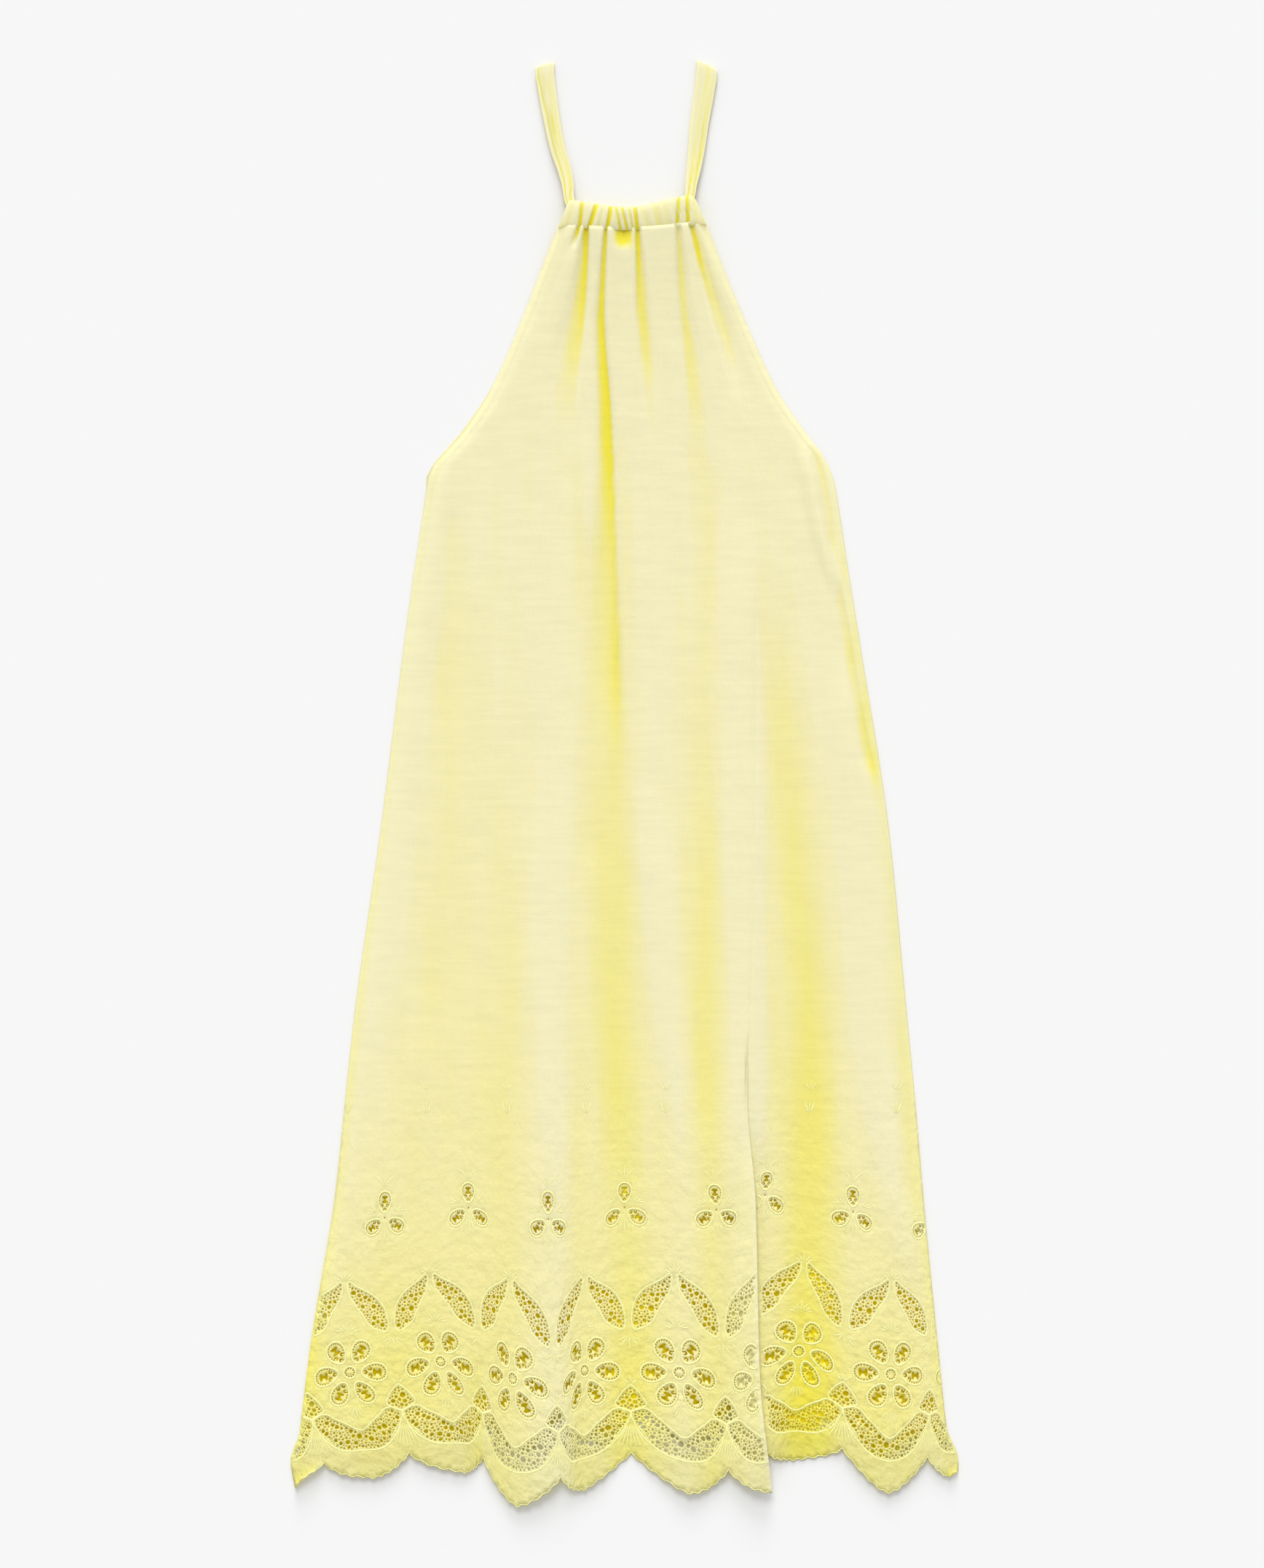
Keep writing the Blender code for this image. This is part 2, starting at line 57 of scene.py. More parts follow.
EYELETS, EYELET_ARC, EYELET_INSET = 15, 1.95, 2.3
EYELET = np.array(((-0.7, -0.75), (0.7, -0.75), (0.7, 0.75), (-0.7, 0.75)))
BUTTON_REACH, BUTTON_EYELETS = 4.4, 10  # the ring of eyelets in the flower's middle
BARRED = np.array(((0.9, 1.3), (2.5, 4.5), (4.1, 3.2), (4.4, 0.0), (4.1, -3.2), (2.5, -4.5), (0.9, -1.3)))
BARRED_AT = 2.9
DOTTED = ((-4.1, 3.7, 2.2), (-4.1, -3.7, -2.2), (-8.8, 0.0, 3.14))     # place and turn of an eyelet
DOTTED_RADIUS, DOT_RADIUS, DOT_SHIFT = 2.25, 0.95, 0.7
DOTTED_ARC, DOT_ARC = np.radians(np.linspace(-145, 145, 7)), np.radians(np.linspace(140, -140, 5))
LEAF = (                                # across, up and half-width along a leaf, from its top
    (4.5, 95.0, 0.9), (9.5, 88.0, 4.8), (16.0, 79.5, 8.4), (23.0, 70.5, 10.6), (30.5, 61.5, 11.2),
    (37.0, 52.0, 8.2), (41.0, 43.5, 1.8),
)
LOBE = 1.4                              # depth of the lobes along a leaf's edges
CRESCENT_TOP = ((0, -66), (5, -64), (15, -55), (25, -46), (31.5, -39.5), (38, -38.2), (46, -42))
CRESCENT_LOW = ((0, -87), (12, -85), (22, -80.5), (32, -71), (38, -63), (43, -53), (46, -45.5))
CAP_TOP = ((0, -14), (5.5, -19), (9.5, -24.5), (13.5, -31.5))
CAP_LOW = ((0, -39.5), (8, -37), (13.5, -34))
WEB_OPENINGS = (                        # width, places tried, share of it off the rim, corners
    (6.6, 5, 0.7, 7), (5.2, 22, 0.7, 7), (4.2, 60, 0.7, 7), (3.0, 420, 0.7, 5), (2.35, 3600, 0.4, 4),
)
WEB_NEAR, WEB_LEAST = 9.0, 0.3          # how near others shape an opening, and its least radius
WEB_ROUNDNESS, WEB_SEED = 7, 11


def smooth_curve(knots, values, at):
    """Value at each place on a curve that passes through the knots and doesn't overshoot."""
    knots, at = np.asarray(knots, float), np.asarray(at, float)
    values = np.asarray(values, float)
    if knots[0] > knots[-1]:
        knots, values = knots[::-1], values[::-1]
    shape, at = at.shape, at.ravel()
    if values.ndim == 1:
        values = np.repeat(values[:, None], at.size, axis=1)
    step = np.diff(knots)[:, None]
    slope = np.diff(values, axis=0) / step
    product, total = slope[:-1] * slope[1:], slope[:-1] + slope[1:]
    inner = np.where(product > 0, 2 * product / np.where(total == 0, 1, total), 0)
    tangent = np.vstack([slope[:1], inner, slope[-1:]])
    row, column_at = np.clip(np.searchsorted(knots, at) - 1, 0, len(knots) - 2), np.arange(at.size)
    width = step[row, 0]
    along = (at - knots[row]) / width
    t = np.clip(along, 0, 1)
    start, end = values[row, column_at], values[row + 1, column_at]
    leaving, arriving = tangent[row, column_at] * width, tangent[row + 1, column_at] * width
    curve = ((2 * t**3 - 3 * t**2 + 1) * start + (t**3 - 2 * t**2 + t) * leaving
             + (3 * t**2 - 2 * t**3) * end + (t**3 - t**2) * arriving)
    return (curve + (along - t) * np.where(along < 0, leaving, arriving)).reshape(shape)


def column(table, number):
    """One column of a table of rows."""
    return [row[number] for row in table]


def read(table, at, number=1):
    """A column of a table at places along its first one, on a smooth curve through its rows."""
    return smooth_curve(column(table, 0), column(table, number), at)


def circle(angle):
    """Points on a circle of radius 1."""
    return np.stack([np.cos(angle), np.sin(angle)], axis=-1)


def petal_edge(angle, inset=0.0):
    """Points of a petal's outline, its narrow end towards -x, at angles round its middle."""
    return np.stack([(PETAL_LENGTH / 2 - inset) * np.cos(angle),
                     (PETAL_WIDTH / 2 - inset) * np.sin(angle) * (1 + PETAL_SKEW * np.cos(angle))], axis=-1)


def placed(points, turn, scale=1.0, at=(0.0, 0.0)):
    """A shape made at the origin, turned and moved to its place on the cloth."""
    x, y = np.asarray(points).T * scale
    return np.stack([x * np.cos(turn) - y * np.sin(turn) + at[0],
                     x * np.sin(turn) + y * np.cos(turn) + at[1]], axis=1)


def petal_openings():
    """A row of eyelets inside the rim, a barred opening and three eyelets with a dot in each."""
    loops = [np.vstack([BARRED, -BARRED]) + (BARRED_AT, 0)]
    for angle in np.linspace(-EYELET_ARC, EYELET_ARC, EYELETS):
        middle = petal_edge(angle, EYELET_INSET)
        ahead = petal_edge(angle + 0.01, EYELET_INSET) - middle
        loops.append(placed(EYELET, np.arctan2(ahead[1], ahead[0]), at=middle))
    ring = np.vstack([circle(DOTTED_ARC) * DOTTED_RADIUS, circle(DOT_ARC) * DOT_RADIUS - (DOT_SHIFT, 0)])
    for x, y, turn in DOTTED:
        loops.append(placed(ring, turn + np.pi, at=(x, y)))
    return loops


def leaf_outline(side):
    """Closed outline of a lobed leaf, made from its midrib and half-widths."""
    knots = np.arange(len(LEAF))
    t = np.linspace(0, len(LEAF) - 1, 31)
    rib = np.stack([smooth_curve(knots, column(LEAF, i), t) for i in (0, 1)], axis=1)
    out = outward_of(rib, False)
    width = smooth_curve(knots, column(LEAF, 2), t)
    lobes = LOBE * np.sin(np.pi * t / 2)
    outer, inner = rib - out * (width - lobes)[:, None], rib + out * (width + lobes)[:, None]
    return (np.vstack([inner, outer[::-1]]) * (side, 1))[::side]


def banded(upper, lower):
    """Closed outline between two edges, the same on both sides of the middle."""
    across = np.linspace(-upper[-1][0], upper[-1][0], 61)
    low, high = (read(edge, abs(across)) for edge in (lower, upper))
    return np.vstack([np.stack([across, low], axis=1), np.stack([across, high], axis=1)[::-1]])


def outward_of(walls, closed=True):
    """Unit normals that point away from the left of a run of points."""
    step = (np.roll(walls, -1, axis=0) - np.roll(walls, 1, axis=0)) if closed else np.gradient(walls, axis=0)
    return np.stack([step[:, 1], -step[:, 0]], axis=1) / np.linalg.norm(step, axis=1)[:, None]


def web(outline, chance):
    """Rounded openings inside an outline, between bars of thread: a few large, more small ones."""
    outward = outward_of(outline)
    low, high = outline.min(0), outline.max(0)
    seeds, widths, corners = np.zeros((0, 2)), np.zeros(0), []
    for width, trials, clear, count in WEB_OPENINGS:
        for place in low + (high - low) * chance.random((trials, 2)):
            to_wall = outline - place
            nearest = np.argmin((to_wall**2).sum(1))
            apart = (np.linalg.norm(seeds - place, axis=1) > (widths + width) / 2).all()
            if apart and to_wall[nearest] @ outward[nearest] >= clear * width + RIM:
                seeds, widths = np.vstack([seeds, place]), np.append(widths, width)
                corners.append(count)
    loops = []
    for seed, width, count in zip(seeds, widths, corners):
        reach = seeds - seed
        distance = np.linalg.norm(reach, axis=1)
        near = (distance > 0.01) & (distance < WEB_NEAR)
        halves = distance[near] * width / (width + widths[near]) - BAR
        toward = reach[near] / distance[near][:, None]
        to_wall = ((outline - seed) * outward).sum(1)
        close = (to_wall > RIM) & (np.linalg.norm(outline - seed, axis=1) < 1.6 * width)
        halves = np.append(halves, to_wall[close] - RIM)
        toward = np.vstack([toward, outward[close]])
        ray = circle(np.linspace(0, 2 * np.pi, count, endpoint=False) + chance.random())
        reached = (np.maximum(ray @ toward.T, 0) / np.maximum(halves, 0.05))**WEB_ROUNDNESS
        radius = np.minimum(np.maximum(reached.sum(1), 1e-9)**(-1 / WEB_ROUNDNESS), 0.7 * width)
        if radius.min() > WEB_LEAST:
            loops.append(seed + ray * radius[:, None])
    return loops


chance = np.random.default_rng(WEB_SEED)
PETALS = [(turn, 1.0, circle(turn) * PETAL_REACH + (0, FLOWER_LEVEL)) for turn in FLOWER_TURNS]
PETALS += [(turn, TREFOIL_SCALE, circle(turn) * TREFOIL_REACH + (VALLEY, TREFOIL_LEVEL))
           for turn in TREFOIL_TURNS]
FIELDS = [outline + (0, FLOWER_LEVEL) for outline in (
    leaf_outline(1), leaf_outline(-1), banded(CRESCENT_TOP, CRESCENT_LOW),
    banded(CAP_TOP, CAP_LOW) + (VALLEY, 0))]
around_button = np.linspace(0, 2 * np.pi, BUTTON_EYELETS, endpoint=False)
REPEAT = [placed(loop, turn, scale, at) for turn, scale, at in PETALS for loop in petal_openings()]
REPEAT += [placed(EYELET, turn + np.pi / 2, at=circle(turn) * BUTTON_REACH + (0, FLOWER_LEVEL))
           for turn in around_button]
REPEAT += [placed(EYELET, 0, at=(VALLEY, TREFOIL_LEVEL))]
REPEAT += [loop for outline in FIELDS for loop in web(outline, chance)]

# ---------------------------------------------------------------------------------------------
# Front panel. One A-line piece of slubby cotton and linen, gathered at the neck, so that it lies
# in lengthwise folds, with a pleat lapped over at the lower right. Its hem is cut in scallops,
# and its armhole edges are turned in and stitched.
MM = 0.001
SHEET = 0.6                             # thickness of the cloth
SCALLOP_LOW, SCALLOP_RISE, SCALLOP_BOW = -708.0, 33.5, 1.5
BUMPS, BUMP_DEPTH = 4.5, 2.0            # small bumps on each side of a scallop
FOLD_LINE = 4.96                        # cloth line along the edge of the lapped pleat
HEM_LEFT_LINE, HEM_RIGHT_LINE = -0.93, 8.05
SIDES_SET = (1.0, -640, -50)            # the change of its sides to those lines: amount, start, span
REPEATS = range(-1, 9)
PLEAT_STRIP = 0.12                      # least width of the pleat's strip, in pitches
PLEAT_TOP, PLEAT_LOW = -89.0, -712.0    # where the pleat opens out, and where its creases end
LOWEST = -760.0                         # a level below all of the cloth
OUTLINE = (                             # y, left, right
    (558, -69.5, 79), (524, -83, 93), (458, -109, 121), (393, -138, 151), (349, -167, 181),
    (327, -187, 198), (316, -196, 203), (305, -200, 207), (283, -203, 211), (217, -213, 221),
    (130, -225, 235), (-45, -247, 262), (-220, -272, 279), (-396, -292, 296),
    (-571, -320, 313), (-673, -331, 324), (-725, -334, 334),
)
NECK_SEAM = ((-69, 558), (0, 555), (79, 561))
NECK_EASE = (500, 58)                   # start and span of the cloth's change to the seam's curve
LEFT_LINES = (                          # line, x at the hem, the flowers, the trefoils, the sprigs
    (-1.0, -341, -365, -368, -362), (-0.5, -300, -322, -326, -322), (0.0, -258, -278, -284, -281),
    (0.5, -216, -231, -243, -241), (1.0, -166, -187, -201, -201), (1.5, -144, -146, -159, -161),
    (2.0, -111, -115, -119, -121), (2.5, -66, -71, -79, -81), (3.0, -43, -43, -42, -41),
    (3.5, 4, 3, -3, -2), (4.0, 60, 52, 44, 38), (4.5, 102, 97.5, 89, 80), (5.0, 147, 136, 132, 124),
)
RIGHT_LINES = (
    (5.0, 111, 84, 97, 112), (5.5, 139, 123, 138, 147), (6.0, 167, 172, 180, 183),
    (6.5, 215, 216, 226, 226), (7.0, 262, 264, 266, 270), (7.5, 300, 303, 302, 313),
    (8.0, 329, 329, 335, 357), (8.5, 355, 357, 368, 400),
)
BORDER_LEVELS = (-690, -587, -427, -315)
EVEN_LEVELS = (                         # y, left line and its x, right line and its x
    (-89, 0.45, -253, 6.73, 267.5), (283, 1.17, -203, 6.0, 211), (558, 1.9, -69.5, 5.3, 79),
)
SAG = (                                 # line, height above its level at hem, flowers, trefoils
    (-1.0, -2, -12, -10), (-0.5, -6, -10, -10), (0.0, 10, -2, -9), (0.5, 4, -1, -7),
    (1.0, 16, 9, -2), (1.5, -2, -2, 3), (2.0, -15, -8, -3), (2.5, -20, -21, -8), (3.0, 0, 0, -3),
    (3.5, 4, -2, 3), (4.0, -3, -2, 2), (4.5, -14, -12, 1), (5.0, -2, -6, 9), (5.5, 6, 9, 16),
    (6.0, 28, 19, 8), (6.5, 9, 1, -1), (7.0, -3, -4, -6), (7.5, 0, -6, -12), (8.0, 9, -13, -13),
)
REST_HEIGHT = ((562, 12.6), (556, 12.5), (500, 9.5), (440, 7.5), (300, 6.3), (-300, 6.3), (-725, 5.8))
SIDE_HEIGHT = ((558, 7.0), (540, 5.5), (500, 3.0), (460, 1.9), (-725, 1.9))
SIDE_ROLL, SIDE_BLEND = 18.0, 0.5       # width over which the cloth comes down at a side, how softly
FOLDS = (
    # centre line (y, x); its rise, reach to the left and reach to the right, each at its top and
    # its bottom; and the lengths over which it fades in and out
    (((562, -40), (515, -41.5), (489, -43), (439, -48), (340, -58)),
     (-6.5, -2.5), (4, 52), (2.6, 7), (0, 150)),
    (((562, -21), (509, -23.5), (470, -24.5), (439, -23), (378, -18.5), (276, -15), (130, -11), (20, -9)),
     (-5, -4.9), (3, 42), (2.6, 6), (0, 130)),
    (((562, -47), (530, -57)), (-4, -3), (4, 6), (2.5, 3), (0, 20)),
    (((562, -3), (532, -4)), (-6, -4), (15, 12), (12, 11), (0, 20)),
    (((555, -56), (440, -98)), (-1.2, -1.5), (8, 20), (8, 16), (20, 60)),
    (((562, 9.5), (515, 11.5), (480, 12), (448, 15), (320, 27)),
     (-5.5, -0.6), (2.4, 12), (4, 30), (0, 160)),
    (((562, 50), (495, 54), (420, 62), (320, 70)), (-4.5, -1.5), (3, 10), (5, 28), (0, 110)),
    (((400, 68), (247, 82), (86, 87), (-235, 86), (-381, 78)), (-1.2, -1.0), (26, 26), (28, 28), (120, 90)),
    (((290, -36), (-120, -36)), (-1.6, -1.6), (26, 26), (24, 24), (90, 90)),
    (((345, 186), (290, 200), (225, 211)), (-3, -2), (9, 12), (5, 6), (15, 30)),
    (((268, 201), (200, 212), (130, 224), (60, 236), (8, 247)), (-2.5, -4), (9, 15), (5, 5), (30, 16)),
    (((330, -187), (250, -205), (150, -220)), (-2, -1.5), (5, 6), (8, 10), (15, 40)),
    (((562, 63), (508, 77), (473, 88), (439, 98), (350, 126)), (-6, -3), (3, 10), (7, 46), (0, 120)),
    (((310, -174), (150, -182), (0, -190)), (-2, -1), (12, 16), (20, 30), (60, 120)),
    (((200, -190), (-280, -190)), (-1.2, -1.2), (45, 45), (45, 45), (100, 100)),
    (((160, -14), (-89, -15), (-357, -6), (-551, 3), (-730, 3)),
     (-2.5, -4.5), (34, 32), (34, 34), (200, 0)),
    (((230, 149), (137, 152), (-89, 170), (-235, 184), (-491, 187), (-730, 180)),
     (-1.3, -5.8), (24, 46), (30, 45), (160, 0)),
    (((60, -78), (-505, -72), (-730, -70)), (1.5, 6), (40, 62), (30, 26), (150, 0)),
    (((8, 26), (-235, 45), (-381, 59), (-730, 62)), (2.5, 3), (30, 30), (30, 30), (120, 0)),
    (((140, 215), (-89, 230), (-235, 240), (-454, 274), (-510, 290)), (3, 2), (26, 26), (24, 24), (80, 60)),
    (((-200, 274), (-460, 291)), (-2, -2), (14, 14), (12, 12), (60, 60)),
    (((345, 176), (261, 192), (174, 222)), (3, 3), (14, 14), (10, 10), (30, 40)),
    (((-560, -150), (-730, -146)), (-1.5, -3), (22, 22), (7, 7), (60, 0)),
)
LAP = (((300, 108), (8, 117), (-284, 122), (-430, 126), (-730, 138)), (2.5, 8), (35, 60), (26, 30), (150, 0))
LAP_CLOSES = 0.55                       # hidden width, in pitches, at which the pleat is folded
LAP_TURN, INNER_TURN = 1.1, 0.4         # radii of the pleat's outer and hidden turns
LEAST_TURN, LAP_DRAW = 0.1, 0.4         # least radius, and how many lines of cloth the turn draws in
RIPPLES = (                             # height, waves a metre across and along, start
    (0.14, 24, 3.1, 0.4), (0.10, 37, -3.2, 2.1), (0.06, 61, 4.3, 4.0), (0.08, 15, 17, 1.3),
)
BODY_ROWS = np.concatenate([np.linspace(561.5, 330, 58), np.linspace(319, -318, 54)])
LEFT_COLUMNS, RIGHT_COLUMNS = 80, 38
CURLS = (((-320.5, -690.5), 308, 24.0), ((323, -690), 300, 14.0))   # a curl's fold, direction and reach
CURL_RADIUS = 2.4
TURNED_EDGE, TURNED_RISE, TURNED_STEP = 7.5, 0.45, 0.9     # the armholes' hems: width, rise, step
TURNED_END = (325.0, 12)                # start and span of their low ends
TURNED_STEPS = np.array((0.0, 1.0, 3.5, 6.9, 7.8, 9.2))    # columns of points near an edge
EDGE_SPAN = 0.1                         # lines over which the cloth's spacing at an edge is measured
HEM_POINTS = 54                         # points to a pitch along the hem
SIDE_STEP, SIDE_END = 5.0, -690.0       # spacing and lowest level of the points down a side
OPENING_CLEAR, CREASE_CLEAR = 1.6, 2.0  # least distances from the cloth's edge
PLEAT_CLEAR = 0.03                      # least distance of an opening from the pleat, in pitches
CLOTH_STEP = 4.9                        # spacing of the mesh in the border, away from openings
CLEAR_STEP = 2.4                        # least distance of a mesh point from an opening
HOLLOW_STEPS = (-56, -38, -24, -12, -5, 5, 12, 24, 38, 56)
HOLLOW_DEPTH, SHADE_MOST = 6.0, 1.2    # depth below the cloth around for full painted shade, and the most painted shade
HOLLOW_ROLL = 9                         # width along a side in which the painted shade of the hollows fades out
SHADE_BASE, BASE_DOWN = 0.45, (0.2, 400, -1100)           # painted shade on level cloth, and its change down the dress
SHADE_SHOWN = 0.42                     # painted shade that a full-depth trough adds, which changes up and down the dress
SHOWN_UP, SHOWN_DOWN = (0.55, 150, 250), (-0.2, -300, -150)
SHADED_PLACES = (                         # x, y, reach across and along, share: places given extra painted shade
    (-235, -600, 85, 100, 0.14), (5, -610, 45, 90, 0.11), (225, -620, 100, 90, 0.16),
    (172, -610, 30, 120, 0.14), (178, -420, 32, 130, 0.13), (-322, -590, 24, 90, 0.17),
    (-4, 230, 16, 220, 0.14), (-53, 270, 17, 160, 0.10),
    (-5, 547, 14, 10, 0.5), (-46, 556, 9, 12, 0.5), (67, 528, 7, 26, 0.35), (-160, 130, 34, 160, 0.07),
    (-327, -700, 7, 8, 0.22), (-315, -690, 8, 7, 0.16), (326, -694, 8, 6, 0.3),
    (215, 205, 6, 30, 0.15), (226, 135, 7, 35, 0.2), (238, 70, 7, 35, 0.25), (247, 20, 6, 22, 0.3),
    (-11, 100, 8, 90, 0.15),
)


def ease(value):
    """A smooth step, which starts at 0 and ends at 1."""
    t = np.clip(value, 0, 1)
    return t * t * (3 - 2 * t)


def change(amount, start, span, y):
    """The share of an amount at a height: none of it at the start, all of it one span on."""
    return amount * ease((y - start) / span)


def lines_x(lines, line, level):
    """Where a cloth line lies across the dress at a level, on one side of the pleat."""
    spread = [read(lines, line, 1 + i) for i in range(len(BORDER_LEVELS))]
    for _, left_line, left_x, right_line, right_x in EVEN_LEVELS:
        spread.append(left_x + (line - left_line) * (right_x - left_x) / (right_line - left_line))
    levels = BORDER_LEVELS + tuple(column(EVEN_LEVELS, 0))
    return smooth_curve(levels, np.array(spread), level)


def sagged(line, level):
    """Height on the page of a point of the flat cloth, after its uneven sag."""
    sags = [read(SAG, line, 1 + i) for i in range(3)] + [0 * line, 0 * line]
    levels = BORDER_LEVELS + (0,)
    return level + smooth_curve(levels, np.array(sags), np.clip(level, LOWEST, 0))


def neck_shift(x, level):
    """How far the curve of the neck seam moves the cloth up or down."""
    return change(read(NECK_SEAM, x) - OUTLINE[0][0], *NECK_EASE, level)


def line_at(lines, x, level):
    """The cloth line that lies at a place across the dress."""
    trial = np.linspace(-1.5, 9.0, 500)
    return float(np.interp(x, lines_x(lines, trial, np.full(trial.shape, float(level))), trial))


def fold_height(fold, x, y):
    """How far a fold lifts the cloth at a place, which is below zero in a trough."""
    path, *spans, (fade_in, fade_out) = fold
    top, bottom, centre = path[0][0], path[-1][0], read(path, y)
    down = np.clip((top - y) / (top - bottom), 0, 1)
    rise, left, right = (start + (end - start) * down for start, end in spans)
    across = (x - centre) / np.where(x < centre, left, right)
    shape = np.where(abs(across) < 1, (1 - across**2)**2, 0)
    return rise * shape * ease((top - y) / max(fade_in, 1)) * ease((y - bottom) / max(fade_out, 1))


def outline_x(side, y):
    """Where the left side, 1, or the right side, 2, of the panel is at a height."""
    return read(OUTLINE, y, side)


def panel_height(x, y, closed, above):
    """Height of the front panel's outer face at a place on the page.

    closed is how shut the pleat is, and above is true for the cloth on top of it."""
    raw = read(REST_HEIGHT, y)
    for fold in FOLDS:
        raw = raw + fold_height(fold, x, y)
    lap = fold_height(LAP, x, y)
    centre = read(LAP[0], y)
    crest = fold_height(LAP, centre, y)
    plateau = np.where(x > centre, crest, lap)
    raw = raw + lap * (1 - closed) + np.where(above, plateau * closed, 0)
    for height, across, along, start in RIPPLES:
        raw = raw + height * np.sin((across * x + along * y) * 2 * np.pi * MM + start)
    low = read(SIDE_HEIGHT, y)
    over = 0.5 * ((raw - low) + np.sqrt((raw - low)**2 + SIDE_BLEND))
    from_edge = np.minimum(x - outline_x(1, y), outline_x(2, y) - x)
    inside = np.clip(from_edge / SIDE_ROLL, 0, 1)
    turned = change(TURNED_RISE * ease((TURNED_EDGE - from_edge) / TURNED_STEP + 0.5), *TURNED_END, y)
    return low + over * inside * (2 - inside) + turned


PLEAT_LEVELS = np.arange(LOWEST, PLEAT_TOP + 1, 10.0)
pleat_edges = lines_x(LEFT_LINES, np.full(PLEAT_LEVELS.shape, FOLD_LINE), PLEAT_LEVELS)
PLEAT_WIDTHS = [max(line_at(RIGHT_LINES, edge, level) - FOLD_LINE, 0.0)
                for edge, level in zip(pleat_edges, PLEAT_LEVELS)]


def hidden_width(level):
    """How many lines of cloth the pleat hides at a level."""
    return np.where(level < PLEAT_TOP, np.interp(level, PLEAT_LEVELS, PLEAT_WIDTHS), 0.0)


def curled(points):
    """The panel's points with the corners of its hem rolled up and over."""
    for fold, turn, reach in CURLS:
        way = circle(np.radians(turn))
        from_fold = points[:, :2] - fold
        near = ease(3 - 3 * np.linalg.norm(from_fold, axis=1) / reach)
        beyond = near * np.maximum(from_fold @ way, 0)
        angle = np.minimum(beyond / CURL_RADIUS, np.pi)
        along = CURL_RADIUS * (np.sin(angle) + angle) - beyond
        points[:, :2] += (along - beyond)[:, None] * way
        points[:, 2] += CURL_RADIUS * (1 - np.cos(angle))
    return points


def lay_front(line, level):
    """Where a point of the flat front panel lies: x, y and z of its outer face.

    The strip in the pleat goes round a turn, back under the cloth, round a smaller turn and on."""
    line, level = (np.asarray(value, float) for value in np.broadcast_arrays(line, level))
    shape, line, level = line.shape, line.ravel(), level.ravel()
    hidden = hidden_width(level)
    closed = ease(hidden / LAP_CLOSES)
    far_line = FOLD_LINE + np.maximum(hidden, PLEAT_STRIP)
    y = sagged(line, level)
    x_left = lines_x(LEFT_LINES, line, level)
    x_right = np.where(level < PLEAT_TOP, lines_x(RIGHT_LINES, line, level), x_left)
    y = y + neck_shift(x_left, level)
    edge = lines_x(LEFT_LINES, np.full(line.shape, FOLD_LINE), level)
    beyond = np.where(level < PLEAT_TOP, lines_x(RIGHT_LINES, far_line, level),
                      lines_x(LEFT_LINES, far_line, level))
    top = panel_height(edge, y, closed, True)
    low = panel_height(beyond, y, closed, False)
    share = np.clip((line - FOLD_LINE) / (far_line - FOLD_LINE), 0, 1)
    on_left, on_right = line <= FOLD_LINE, line >= far_line
    x = np.where(on_left, x_left, np.where(on_right, x_right, edge + (beyond - edge) * share))
    z = np.where(on_left | on_right, panel_height(x, y, closed, on_left), top + (low - top) * ease(share))
    turn = np.minimum(LAP_TURN, np.maximum((top - low - 2 * INNER_TURN) / 2, LEAST_TURN))
    depth = np.maximum((far_line - FOLD_LINE) * PITCH / 2, 2 * INNER_TURN + turn)
    lengths = [np.pi * turn, depth - turn, np.pi * INNER_TURN + 0 * turn, depth]
    run = share * sum(lengths)
    first, second, third, fourth = (np.clip((run - sum(lengths[:i])) / lengths[i], 0, 1) for i in range(4))
    under = top - 2 * turn
    fold_x = (edge - turn + turn * np.sin(np.pi * first) - second * (depth - turn)
              - INNER_TURN * np.sin(np.pi * third) + fourth * depth)
    fold_z = (under + turn + turn * np.cos(np.pi * first) + second * (low + 2 * INNER_TURN - under)
              - INNER_TURN * (1 - np.cos(np.pi * third)))
    in_strip = ~on_left & ~on_right
    x = np.where(in_strip, x + (fold_x - x) * closed, x)
    z = np.where(in_strip, z + (fold_z - z) * closed, z)
    x = x - np.where(on_left, turn * closed * np.clip(1 - (FOLD_LINE - line) / LAP_DRAW, 0, 1), 0)
    return curled(np.stack([x, y, z], axis=-1)).reshape(shape + (3,))


def hem_level(line):
    """Level of the scalloped hem, with its small bumps cut into the large scallops."""
    aside = abs(2 * (line - np.round(line)))
    return (SCALLOP_LOW + SCALLOP_RISE * aside**SCALLOP_BOW
            + BUMP_DEPTH * (0.5 - 0.5 * np.cos(2 * np.pi * BUMPS * aside)))


EDGE_LEVELS = np.arange(-730.0, 566.0, 8.0)
LEFT_EDGE = np.array([line_at(LEFT_LINES, float(outline_x(1, level)), level) for level in EDGE_LEVELS])
RIGHT_EDGE = np.array([line_at(RIGHT_LINES if level < PLEAT_TOP else LEFT_LINES,
                               float(outline_x(2, level)), level) for level in EDGE_LEVELS])


def side_lines(level):
    """Cloth lines at the panel's left and right edges, which end at set lines at the hem."""
    left, right = np.interp(level, EDGE_LEVELS, LEFT_EDGE), np.interp(level, EDGE_LEVELS, RIGHT_EDGE)
    down = change(*SIDES_SET, level)
    return left + (HEM_LEFT_LINE - left) * down, right + (HEM_RIGHT_LINE - right) * down


